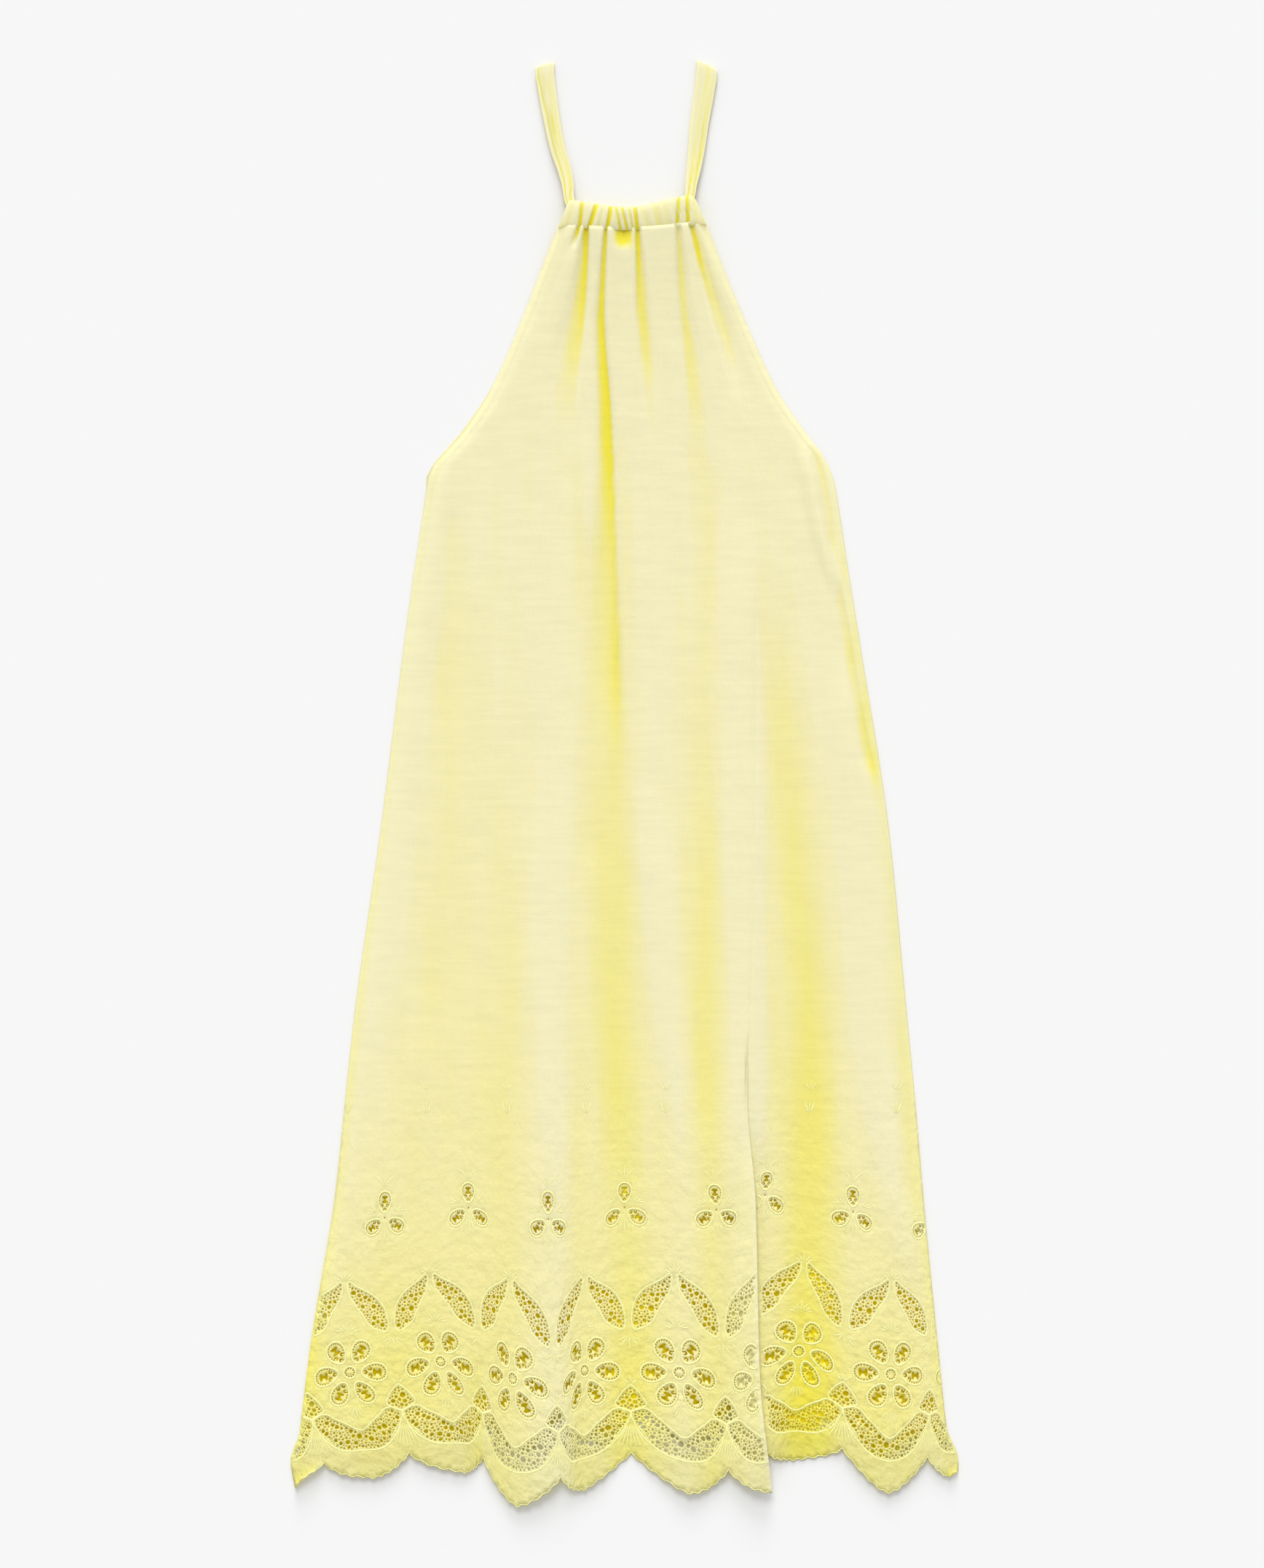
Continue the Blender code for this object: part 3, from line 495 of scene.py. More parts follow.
def strip_shares(far_line):
    """Shares of the pleat's strip with a row of points each, close together at its two turns."""
    total = (far_line - FOLD_LINE) * PITCH + (np.pi - 1) * LAP_TURN + np.pi * INNER_TURN
    inner = ((far_line - FOLD_LINE) * PITCH / 2 + (np.pi - 1) * LAP_TURN) / total
    outer_turn = np.linspace(0, np.pi * LAP_TURN / total, 6)
    inner_turn = np.linspace(inner, inner + np.pi * INNER_TURN / total, 5)
    middle = np.linspace(outer_turn[-1], inner, 5)[1:-1]
    return np.concatenate([outer_turn[1:], middle, inner_turn, np.linspace(inner_turn[-1], 1, 5)[1:-1]])


def body_row(level):
    """Lines of the points across the panel at one level, closer together at its turned edges."""
    left, right = side_lines(level)
    far_line = FOLD_LINE + max(float(hidden_width(np.array(level))), PLEAT_STRIP)
    strip = FOLD_LINE + (far_line - FOLD_LINE) * strip_shares(far_line)
    ends = np.array([left, left + EDGE_SPAN, right - EDGE_SPAN, right])
    x = lay_front(ends, level)[:, 0]
    left_steps, right_steps = (TURNED_STEPS * EDGE_SPAN / (x[i + 1] - x[i]) for i in (0, 2))
    return np.concatenate([
        left + left_steps[:-1], np.linspace(left + left_steps[-1], FOLD_LINE, LEFT_COLUMNS), strip,
        np.linspace(far_line, right - right_steps[-1], RIGHT_COLUMNS), right - right_steps[-2::-1]])


def grid_faces(rows, columns, ring=False):
    """Faces between rows of numbered points, each row closed on itself in a ring."""
    across = np.arange(columns if ring else columns - 1)
    after = (across + 1) % columns
    faces = []
    for row in range(rows - 1):
        near, far = row * columns, (row + 1) * columns
        faces += np.stack([near + across, far + across, far + after, near + after], axis=1).tolist()
    return faces


def inside_cloth(loop, margin):
    """True for each point of a shape on the flat front panel that is clear of its hem and sides."""
    line, level = loop[:, 0] / PITCH, loop[:, 1]
    left, right = side_lines(level)
    return ((line > left + margin / PITCH) & (line < right - margin / PITCH)
            & (level > hem_level(line) + margin))


def in_pleat(loop, margin):
    """True for each point of a shape on the flat front panel that the pleat folds away."""
    line = loop[:, 0] / PITCH
    return (line > FOLD_LINE - margin) & (line < FOLD_LINE + hidden_width(loop[:, 1]) + margin)


def cut_border(rim, openings, runs):
    """Points and triangles of the border's flat cloth, with its openings cut out of it.

    rim is the cloth's outline, and runs are rows of points that its creases follow."""
    points, edges, faces = list(rim), [], [list(range(len(rim)))]
    for loop in openings:
        x, y = loop.T
        if (x * np.roll(y, -1) - np.roll(x, -1) * y).sum() < 0:
            loop = loop[::-1]
        faces.append(list(range(len(points), len(points) + len(loop))))
        points += list(loop)
    for run in runs:
        edges += [(len(points) + i, len(points) + i + 1) for i in range(len(run) - 1)]
        points += list(run)
    taken = np.array(points)
    low, high = taken.min(0), taken.max(0)
    for i, y in enumerate(np.arange(low[1], high[1], CLOTH_STEP)):
        near = taken[abs(taken[:, 1] - y) < CLEAR_STEP]
        for x in np.arange(low[0] + CLOTH_STEP / 2 * (i % 2), high[0], CLOTH_STEP):
            if near.size == 0 or ((near - (x, y))**2).sum(1).min() > CLEAR_STEP**2:
                points.append((x, y))
    cut = geometry.delaunay_2d_cdt([Vector(point) for point in points], edges, faces, 1, 1e-5)
    return np.array(cut[0]), [face for face, source in zip(cut[2], cut[5]) if source == [0]]


def flat_cloth(lines, rows, ends, sides, openings=(), runs=()):
    """Points and faces of a panel laid flat: plain rows of points, then the border down to its hem.

    lines are the points' lines in each of rows, ends are the hem's two end lines, and sides gives
    the panel's edges at a level."""
    body = np.stack([lines * PITCH, np.repeat(rows[:, None], lines.shape[1], axis=1)], axis=-1)
    levels = np.arange(rows[-1], SIDE_END, -SIDE_STEP)
    hem_lines = np.linspace(*ends, int((ends[1] - ends[0]) * HEM_POINTS))
    left, right = sides(levels)
    rim = np.vstack([
        np.stack([hem_lines * PITCH, hem_level(hem_lines)], axis=1),
        np.stack([right * PITCH, levels], axis=1)[:0:-1],
        body[-1, ::-1],
        np.stack([left * PITCH, levels], axis=1)[1:],
    ])
    border, border_faces = cut_border(rim, openings, runs)
    seam = np.nonzero(abs(border[:, 1] - rows[-1]) < 1e-6)[0]
    first = body.shape[0] * body.shape[1]
    number = np.arange(len(border)) + first
    for i in seam:
        number[i] = first - body.shape[1] + np.argmin(abs(body[-1, :, 0] - border[i, 0]))
    fresh = np.setdiff1d(np.unique(border_faces), seam)
    number[fresh] = first + np.arange(len(fresh))
    faces = grid_faces(*body.shape[:2]) + number[np.array(border_faces)].tolist()
    return np.vstack([body.reshape(-1, 2), border[fresh]]), faces


def new_piece(name, points, faces, flat=None, painted_shade=None):
    """An object from points in millimetres, with its place on the flat cloth as its UV map."""
    mesh = bpy.data.meshes.new(name)
    mesh.from_pydata((np.asarray(points) * MM).tolist(), [], faces)
    mesh.shade_smooth()
    if flat is not None:
        corner = np.zeros(len(mesh.loops), int)
        mesh.loops.foreach_get("vertex_index", corner)
        places = (np.asarray(flat)[corner] * MM).astype(np.float32)
        mesh.uv_layers.new(name="flat").data.foreach_set("uv", places.ravel())
    # A value for each point, which the cloth material turns into painted shade.
    if painted_shade is not None:
        mesh.attributes.new("painted_shade", "FLOAT", "POINT").data.foreach_set("value", painted_shade.astype(np.float32))
    piece = bpy.data.objects.new(name, mesh)
    bpy.context.scene.collection.objects.link(piece)
    return piece


def add_wall(piece, thickness):
    """Gives a sheet its thickness, inwards from its outer face."""
    wall = piece.modifiers.new("wall", "SOLIDIFY")
    wall.thickness = thickness * MM
    wall.offset = -1.0
    return piece


def painted_shade_of(points, closed, above):
    """Painted shade for each point of the front panel: more the lower it lies than the cloth around it.

    It shows most near the neck and least in the border, not along the sides, and more at set places."""
    x, y, z = points.T
    around = sum(panel_height(x + step, y, closed, above) for step in HOLLOW_STEPS) / len(HOLLOW_STEPS)
    shown = SHADE_SHOWN + change(*SHOWN_UP, y) + change(*SHOWN_DOWN, y)
    shown = shown * ease(np.minimum(x - outline_x(1, y), outline_x(2, y) - x) / HOLLOW_ROLL)
    shade_spots = sum(share * np.exp(-((x - at_x) / reach_x)**2 - ((y - at_y) / reach_y)**2)
               for at_x, at_y, reach_x, reach_y, share in SHADED_PLACES)
    base = SHADE_BASE + change(*BASE_DOWN, y) + shade_spots
    return np.clip(base + shown * (around - z) / HOLLOW_DEPTH, 0, SHADE_MOST)


pleat_levels = np.arange(BODY_ROWS[-1] - SIDE_STEP, PLEAT_LOW, -SIDE_STEP)
far_lines = FOLD_LINE + hidden_width(pleat_levels)
strip_lines = np.array([FOLD_LINE + (far - FOLD_LINE) * strip_shares(far) for far in far_lines])
runs = [np.stack([at * PITCH, pleat_levels], axis=1)
        for at in [np.full(pleat_levels.shape, FOLD_LINE), *strip_lines.T, far_lines]]
runs = [run[run[:, 1] > hem_level(run[:, 0] / PITCH) + CREASE_CLEAR] for run in runs]
repeats = [loop + (PITCH * k, 0) for k in REPEATS for loop in REPEAT]
openings = [loop for loop in repeats
            if inside_cloth(loop, OPENING_CLEAR).all() and not in_pleat(loop, PLEAT_CLEAR).any()]
body_lines = np.array([body_row(level) for level in BODY_ROWS])
flat, faces = flat_cloth(body_lines, BODY_ROWS, (HEM_LEFT_LINE, HEM_RIGHT_LINE), side_lines, openings, runs)
line, level = flat[:, 0] / PITCH, flat[:, 1]
points = lay_front(line, level)
closed = ease(hidden_width(level) / LAP_CLOSES)
# Painted shade of the front panel, strongest in the troughs of its folds.
painted_shade = painted_shade_of(points, closed, line <= FOLD_LINE)
front_panel = add_wall(new_piece("front_panel_cloth", points, faces, flat, painted_shade), SHEET)

# Painted shade: the cloth's colour runs from lit, to shaded, to deep golden shade by each point's value.
CLOTH_LIT, CLOTH_SHADED = (0.92, 0.908, 0.71, 1.0), (0.91, 0.855, 0.10, 1.0)
CLOTH_DEEP_SHADE = (1.0, 0.85, 0.01, 1.0)        # painted deep shade, golden, on cloth in shade under more cloth
CLOTH_THROUGH = (0.95, 0.90, 0.07, 1.0)     # light that comes through the cloth
THROUGH_SHARE = 0.42
GRAINS = (((60, 1300, 1), 2.0), ((1300, 90, 1), 2.0), ((16, 200, 1), 4.0))     # scale and detail
SLUB_TONE = (0.3, 0.7, 0.972, 1.016)
CRUMPLE = (-0.25, -0.60, 0.10, 1.0)         # two heights on the cloth, and its crumple at each
HEM_SHADE = (-0.64, -0.685, 1.0, 0.90)       # the same for painted shade, which darkens its colour toward the hem


def fill(tree, node, inputs):
    """Links each input to a socket or a node's first output, or sets it to a number or colour."""
    for name, value in inputs.items():
        if isinstance(value, bpy.types.Node):
            value = value.outputs[0]
        if isinstance(value, bpy.types.NodeSocket):
            tree.links.new(value, node.inputs[name])
        else:
            node.inputs[name].default_value = value


def new_node(tree, kind, inputs, **settings):
    """A node of the material, with its settings and inputs."""
    node = tree.nodes.new("ShaderNode" + kind)
    for name, value in settings.items():
        setattr(node, name, value)
    fill(tree, node, inputs)
    return node


def new_range(tree, value, start, end, low, high):
    """A value turned from the span start to end into the span low to high."""
    return new_node(tree, "MapRange", {"Value": value, "From Min": start, "From Max": end,
                                       "To Min": low, "To Max": high})


def new_tints(tree, value, *stops):
    """A colour ramp of two or more places and colours."""
    ramp = new_node(tree, "ValToRGB", {"Fac": value})
    for element, (place, colour) in zip(ramp.color_ramp.elements, stops):
        element.position, element.color = place, colour
    for place, colour in stops[2:]:
        ramp.color_ramp.elements.new(place).color = colour
    return ramp


def new_material(name, inputs):
    """A material, its node tree and its shader, with the shader's own finish set."""
    material = bpy.data.materials.new(name)
    material.use_nodes = True
    shader = material.node_tree.nodes["Principled BSDF"]
    fill(material.node_tree, shader, inputs)
    return material, material.node_tree, shader


def cloth_material(name):
    """Plain weave with slubs: thick places that run along the weft and, fewer, along the warp.

    The cloth is thin, so some light comes through it, and painted shade, set by a value at each
    point, deepens its colour towards gold. It is crumpled where the embroidery pulls at it, and
    painted shade darkens it along its hem."""
    material, tree, shader = new_material(name, {"Roughness": 0.92, "Specular IOR Level": 0.15})
    place = new_node(tree, "UVMap", {}, uv_map="flat")
    height = new_node(tree, "SeparateXYZ", {"Vector": place}).outputs["Y"]
    grains = []
    for scale, detail in GRAINS:
        stretched = new_node(tree, "Mapping", {"Vector": place, "Scale": scale})
        grains.append(new_node(tree, "TexNoise", {"Vector": stretched, "Scale": 1.0, "Detail": detail},
                               noise_dimensions="2D"))
    weft, warp, slubs = grains
    threads = new_node(tree, "Math", {0: weft, 1: warp}, operation="ADD")
    crumple = new_node(tree, "TexNoise", {"Vector": place, "Scale": 85.0, "Detail": 3.0},
                       noise_dimensions="2D")
    toward_hem = new_range(tree, height, *CRUMPLE)
    creases = new_node(tree, "Math", {0: crumple, 1: toward_hem}, operation="MULTIPLY")
    crumpled = new_node(tree, "Bump", {"Height": creases, "Strength": 0.6, "Distance": 0.004})
    woven = new_node(tree, "Bump", {"Height": threads, "Normal": crumpled,
                                    "Strength": 0.35, "Distance": 0.0003})
    painted_shade = new_node(tree, "Attribute", {}, attribute_name="painted_shade").outputs["Fac"]
    # Painted shade: each point's value picks a colour from lit cloth through shaded cloth to deep golden
    # shade.
    half = new_node(tree, "Math", {0: painted_shade, 1: 0.5}, operation="MULTIPLY")
    tint = new_tints(tree, half, (0.225, CLOTH_LIT), (0.5, CLOTH_SHADED), (1.0, CLOTH_DEEP_SHADE))
    slub = new_range(tree, slubs, *SLUB_TONE)
    hem = new_range(tree, height, *HEM_SHADE)
    # The slubs vary the tone at random, and painted shade darkens it toward the hem.
    slub_and_hem_shade = new_node(tree, "Math", {0: slub, 1: hem}, operation="MULTIPLY")
    shade = new_node(tree, "VectorMath", {0: tint, "Scale": slub_and_hem_shade}, operation="SCALE")
    fill(tree, shader, {"Normal": woven, "Base Color": shade})
    through = new_node(tree, "BsdfTranslucent", {"Color": CLOTH_THROUGH})
    both = new_node(tree, "MixShader", {"Fac": THROUGH_SHARE, 1: shader, 2: through})
    fill(tree, tree.nodes["Material Output"], {"Surface": both})
    return material


panel_cloth = cloth_material("panel_cloth")
front_panel.data.materials.append(panel_cloth)
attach(front_panel, "root")
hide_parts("front_panel")

# ---------------------------------------------------------------------------------------------
# Embroidery. Satin stitch in paler thread, which stands half a millimetre off the cloth: a rim
# round each opening, an edging along the hem, and sprigs of single leaves above and between them.
STITCH_ROOT, STITCH_SIDE = -0.35, -0.1  # how far a rib's middle and sides go into the cloth
RIM_WIDTH, RIM_RISE = 1.2, 0.35         # half-width and rise off the cloth
LACE_WIDTH, LACE_RISE = 1.1, 0.18
EDGING_WIDTH, EDGING_RISE = 0.9, 0.06
LEAF_WIDTH, LEAF_RISE = 0.75, 0.22
RIM_POINTS, RIM_INSET, BEAD = 32, 0.45, 0.22
BUTTON_RADIUS = 6.4                     # of the rim round the flower's middle
RIM_CLEAR, LEAF_CLEAR = 1.2, 2.0        # least distances from the cloth's edge
RIB_CLEAR = 0.01                        # least distance of a rib from the pleat, in pitches
EDGING_INSET, EDGING_END, EDGING_POINTS = 0.8, 0.015, 60     # off the hem, off its ends, to a pitch


def rib(path, half_width, rise, closed=False):
    """A rib of stitches on the flat cloth: the places and rises of its section at each point."""
    aside = outward_of(path, closed) * np.reshape(half_width, (-1, 1))
    places = np.stack([path - aside, path, path + aside, path], axis=1)
    rises = np.tile((STITCH_SIDE, STITCH_ROOT, STITCH_SIDE, rise), (len(path), 1))
    return places, rises, closed


def pieces_inside(path, closed, inside):
    """The runs of a path's points that lie on the cloth, with whether each is still closed."""
    if inside.all():
        return [(path, closed)]
    if closed and inside.any():
        start = int(np.argmin(inside))
        path, inside = np.roll(path, -start, axis=0), np.roll(inside, -start)
    breaks = np.nonzero(np.diff(inside.astype(int)))[0] + 1
    return [(run, False) for run, kept in zip(np.split(path, breaks), np.split(inside, breaks))
            if kept[0] and len(run) > 2]


def leaf(at, turn, length, bend=0.0):
    """A tapered leaf of satin stitch from a place on the cloth, in a direction in degrees."""
    along = np.linspace(0, 1, 6)
    heading = np.radians(turn) + np.radians(bend) * (along[:-1] + along[1:]) / 2
    steps = circle(heading) * length / 5
    path = np.vstack([np.zeros((1, 2)), np.cumsum(steps, axis=0)]) + at
    return path, LEAF_WIDTH * (0.12 + np.sin(np.pi * along**0.8))


def sprig(at, turn, leaves):
    """Leaves of the given spread, length and bend, mirrored about the sprig's own direction."""
    made = []
    for spread, length, bend, away in leaves:
        for side in (1, -1) if spread or away else (1,):
            start = np.radians(turn + 90 * side)
            made.append(leaf(np.add(at, (away * np.cos(start), away * np.sin(start))),
                             turn + side * spread, length, side * bend))
    return made


SPRIGS = (                              # place, direction, then spread, length, bend, shift of leaves
    ((0, FLOWER_LEVEL + 97), 90, ((0, 11, 0, 0), (28, 10, 25, 1.5), (55, 7, 20, 3.5))),
    ((0, FLOWER_LEVEL + 44), 90, ((0, 13, 0, 0), (22, 11, 20, 1.5), (46, 9, 25, 3.0), (75, 8, 10, 5))),
    ((0, FLOWER_LEVEL - 38), 270, ((0, 13, 0, 0), (20, 12, -15, 1.8), (42, 9, -20, 3.5))),
    ((VALLEY, FLOWER_LEVEL + 36), 270, ((0, 15, 0, 0), (25, 14, 25, 2.0), (50, 11, 30, 3.0))),
    ((VALLEY, FLOWER_LEVEL - 12), 90, ((0, 9, 0, 0), (35, 8, 30, 1.5))),
    ((VALLEY, FLOWER_LEVEL - 55), 270,
     ((0, 27, 0, 0), (8, 27, 0, 1), (16, 27, 0, 2), (24, 28, 0, 3), (33, 24, 0, 6))),
    ((VALLEY, TREFOIL_LEVEL + 29), 90, ((0, 17, 0, 0), (14, 17, 65, 1.4))),
    ((VALLEY, TREFOIL_LEVEL + 6), 90, ((34, 9, 10, 10), (60, 9, 10, 12), (82, 8, 10, 14))),
    ((VALLEY, TREFOIL_LEVEL - 11), 270, ((0, 15, 0, 0), (13, 14, 25, 1.8))),
    ((0, -329), 90, ((0, 12, 0, 0), (34, 12, -10, 0.8), (22, 13, -8, 1.2))),
    ((0, -306), 90, ((0, 8, 0, 0), (30, 9, 12, 1.2))),
)


def repeat_ribs():
    """Rims of one repeat's petals, button and fields of web, and its leaves with their half-widths."""
    around = np.linspace(0, 2 * np.pi, RIM_POINTS, endpoint=False)
    rims = [placed(petal_edge(around, RIM_INSET), turn, scale, at) for turn, scale, at in PETALS]
    rims.append(circle(around) * BUTTON_RADIUS + (0, FLOWER_LEVEL))
    rims = [(rim, RIM_WIDTH, RIM_RISE) for rim in rims]
    rims += [(field + outward_of(field) * LACE_WIDTH, LACE_WIDTH, LACE_RISE) for field in FIELDS]
    return rims, [made for at, turn, leaves in SPRIGS for made in sprig(at, turn, leaves)]


def beaded(run, half_width):
    """Half-widths along a run of stitches that swells at every other point."""
    return half_width * (1 + BEAD * (-1.0)**np.arange(len(run)))


def panel_ribs():
    """Every rib of stitches on the front panel, left out where it ends or the pleat hides it."""
    rims, leaves = repeat_ribs()
    ribs = []
    for k in REPEATS:
        for loop, width, rise in rims:
            path = loop + (PITCH * k, 0)
            inside = inside_cloth(path, RIM_CLEAR) & ~in_pleat(path, RIB_CLEAR)
            ribs += [rib(run, beaded(run, width), rise, closed)
                     for run, closed in pieces_inside(path, True, inside)]
        for path, half_width in leaves:
            path = path + (PITCH * k, 0)
            if inside_cloth(path, LEAF_CLEAR).all() and not in_pleat(path, RIB_CLEAR).any():
                ribs.append(rib(path, half_width, LEAF_RISE))
    first, last = HEM_LEFT_LINE + EDGING_END, HEM_RIGHT_LINE - EDGING_END
    line = np.linspace(first, last, int((HEM_RIGHT_LINE - HEM_LEFT_LINE) * EDGING_POINTS))
    path = np.stack([line * PITCH, hem_level(line) + EDGING_INSET], axis=1)
    edging = pieces_inside(path, False, ~in_pleat(path, RIB_CLEAR))
    return ribs + [rib(run, beaded(run, EDGING_WIDTH), EDGING_RISE) for run, _ in edging]


def on_cloth(places, rises):
    """Places of the flat front panel as it lies, raised off it."""
    line, level = places[:, 0] / PITCH, places[:, 1]
    across = lay_front(line + 0.004, level) - lay_front(line - 0.004, level)
    along = lay_front(line, level + 0.4) - lay_front(line, level - 0.4)
    normal = np.cross(across, along)
    normal /= np.linalg.norm(normal, axis=1)[:, None]
    return lay_front(line, level) + normal * rises[:, None]


def add_ribs(name, ribs):
    """One piece of all the ribs of stitches on the front panel."""
    faces, first = [], 0
    for places, _, closed in ribs:
        rows = len(places)
        part = grid_faces(rows, 4, ring=True)
        last = 4 * (rows - 1)
        if closed:
            part += [[last + i, i, (i + 1) % 4, last + (i + 1) % 4] for i in range(4)]
        else:
            part += [[0, 1, 2, 3], [last + 3, last + 2, last + 1, last]]
        faces += (np.array(part) + first).tolist()
        first += 4 * rows
    places = np.concatenate([item[0].reshape(-1, 2) for item in ribs])
    rises = np.concatenate([item[1].ravel() for item in ribs])
    return new_piece(name, on_cloth(places, rises), faces)


THREAD_DARK, THREAD_LIGHT = (0.72, 0.68, 0.21, 1.0), (0.86, 0.84, 0.42, 1.0)
# Mercerised cotton: fine strands with a soft sheen.
embroidery_thread, tree, shader = new_material("embroidery_thread",
                                               {"Roughness": 0.7, "Specular IOR Level": 0.3})
place = new_node(tree, "TexCoord", {}).outputs["Object"]
strands = new_node(tree, "TexNoise", {"Vector": place, "Scale": 800.0, "Detail": 2.0})
tint = new_tints(tree, strands, (0.3, THREAD_DARK), (0.7, THREAD_LIGHT))
twist = new_node(tree, "Bump", {"Height": strands, "Strength": 0.5, "Distance": 0.0002})
fill(tree, shader, {"Base Color": tint, "Normal": twist})
front_stitches = add_ribs("front_embroidery", panel_ribs())
front_stitches.data.materials.append(embroidery_thread)
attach(front_stitches, "root")

# ---------------------------------------------------------------------------------------------
# Back panel. The same cut, laid flat under the front one with its right side down. It shows as a
# sliver at the left underarm, between the front's scallops, and through the openings.
BACK_LINES = (                          # line and x of each scallop's cusp at the hem
    (-0.87, -331), (-0.5, -300), (0.5, -216), (1.5, -140), (2.5, -60), (3.5, 25), (4.5, 115),
    (5.5, 208), (6.5, 298), (6.86, 331),
)
BACK_SAG = ((-0.87, 4), (-0.5, 8), (0.5, 17), (1.5, 30), (2.5, 43), (3.5, 45), (4.5, 41),
            (5.5, 26), (6.5, 12), (6.86, 8))
BACK_INSET = (                          # y, how far its edge lies inside the front's, left and right
    (558, 1, 1), (420, 0, 1), (345, -3, 1), (305, -2, 1.5), (285, 2, 2), (-725, 3, 3),
)
BACK_ROWS = np.concatenate([np.linspace(559.5, 450, 14), np.linspace(436, -340, 56)])
BACK_COLUMNS = 78
BACK_RISE = 0.25
BACK_NARROWS = (1.6, -690, 1100)        # amount, start and span of the lines lost at each side
SAG_STARTS, HEM_FADES = (1.0, 0, -300), (1.0, -670, 300)
SIDE_SHOWS, HEM_SHOWS = (4, 6), (8, 8)  # strips lit along its edges, and the widths they fade over
BACK_LIT, BACK_SHADE_UNDER = 0.5, 1.5       # painted shade: its value in the lit strips, and what is added under the front panel


def back_sides(level):
    """Lines of the back panel's two edges at a level: they follow the front's outline."""
    inward = change(*BACK_NARROWS, level)
    return BACK_LINES[0][0] + inward, BACK_LINES[-1][0] - inward


def lay_back(line, level):
    """Where a point of the flat back panel lies: x, y and z of its outer face, which is below."""
    y = level + read(BACK_SAG, line) * change(*SAG_STARTS, level)
    left, right = outline_x(1, y) + read(BACK_INSET, y), outline_x(2, y) - read(BACK_INSET, y, 2)
    first, last = back_sides(level)
    even = (line - first) / (last - first)
    hem = (read(BACK_LINES, line) - BACK_LINES[0][1]) / (BACK_LINES[-1][1] - BACK_LINES[0][1])
    x = left + (right - left) * (hem + (even - hem) * change(*HEM_FADES, level))
    y = y + neck_shift(x, level)
    z = BACK_RISE * (1 + np.sin(x / 31 + y / 120) * np.sin(y / 47 - x / 90))
    return np.stack([x, y, z], axis=-1)


back_lines = np.array([np.linspace(*back_sides(level), BACK_COLUMNS) for level in BACK_ROWS])
back_ends = (BACK_LINES[0][0], BACK_LINES[-1][0])
flat, faces = flat_cloth(back_lines, BACK_ROWS, back_ends, back_sides)
line, level = flat[:, 0] / PITCH, flat[:, 1]
left, right = back_sides(level)
from_side, from_hem = np.minimum(line - left, right - line) * PITCH, level - hem_level(line)
# Painted shade on the back panel where the front one covers it, golden at its deepest.
shaded_share = np.minimum((from_side - SIDE_SHOWS[0]) / SIDE_SHOWS[1], (from_hem - HEM_SHOWS[0]) / HEM_SHOWS[1])
back_panel = add_wall(new_piece("back_panel_cloth", lay_back(line, level), [face[::-1] for face in faces],
                                flat, BACK_LIT + BACK_SHADE_UNDER * ease(shaded_share)), SHEET)
back_panel.data.materials.append(panel_cloth)
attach(back_panel, "root")
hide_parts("back_panel")

# ---------------------------------------------------------------------------------------------
# Neck casings. Each neck edge ends in a channel of its own cloth, turned and stitched down, and
# gathered on the strap inside it, so that it puckers in deep pleats at uneven places.
CASING_ENDS = ((-69, 558), (-48, 584.5)), ((79, 561), (53, 589))    # lower and upper corner, x, y
CASING_TOP = ((-48, 584.5), (0, 579), (53, 589))
BACK_CASING_HEIGHT = 6.0
FRONT_CASING_FLOOR, FRONT_CASING_HEIGHT = 6.3, 8.4
FRONT_CORNERS = (-58.5, 66.0)           # upper corners of the front wall, which hide the straps' ends
CASING_ROUNDNESS, CASING_SLOPE = 0.6, 2.4
GATHER_MOST, GATHER_TOP, GATHER_DRAW = 0.45, 0.4, 0.6      # greatest depth, less at the top, its pull
GATHER_CUT = 1.6                        # width of flat cloth in a millimetre of gathers
GATHER_LIT, GATHER_SHADE, GATHER_REACH = 0.42, 0.9, 2.4     # painted shade on the ridges, what the deepest creases add, and the depth at which it is full
GATHERS = (                             # x at the lower and upper edge, depth and half-width
    (-60, -53, 0.7, 4), (-47.8, -45, 3.2, 2.6), (-38.6, -30.3, 3.5, 3.2), (-29, -23, 0.9, 2.5),
    (-20.2, -16, 3.5, 2.7), (-6.9, -11.5, 2.5, 1.9), (-0.1, -5.5, 2.7, 1.9), (5.8, 1.2, 1.9, 1.6),
    (10.2, 7.5, 3.3, 2.5), (22, 14, 0.9, 5), (33, 27, 1.1, 6), (42, 36, 0.8, 5),
    (50, 51.5, 3.1, 2.3), (61, 60, 3.3, 2.5), (70, 65, 0.8, 3),
)
BACK_GATHERS = (
    (-58, -46, 1.2, 5), (-44, -36, 1.4, 4), (-30, -25, 1.1, 5), (-16, -12, 1.5, 4), (-2, -3, 1.2, 5),
    (12, 9, 1.5, 4), (27, 21, 1.1, 5), (41, 33, 1.4, 4), (55, 44, 1.5, 4), (67, 56, 1.0, 4),
)


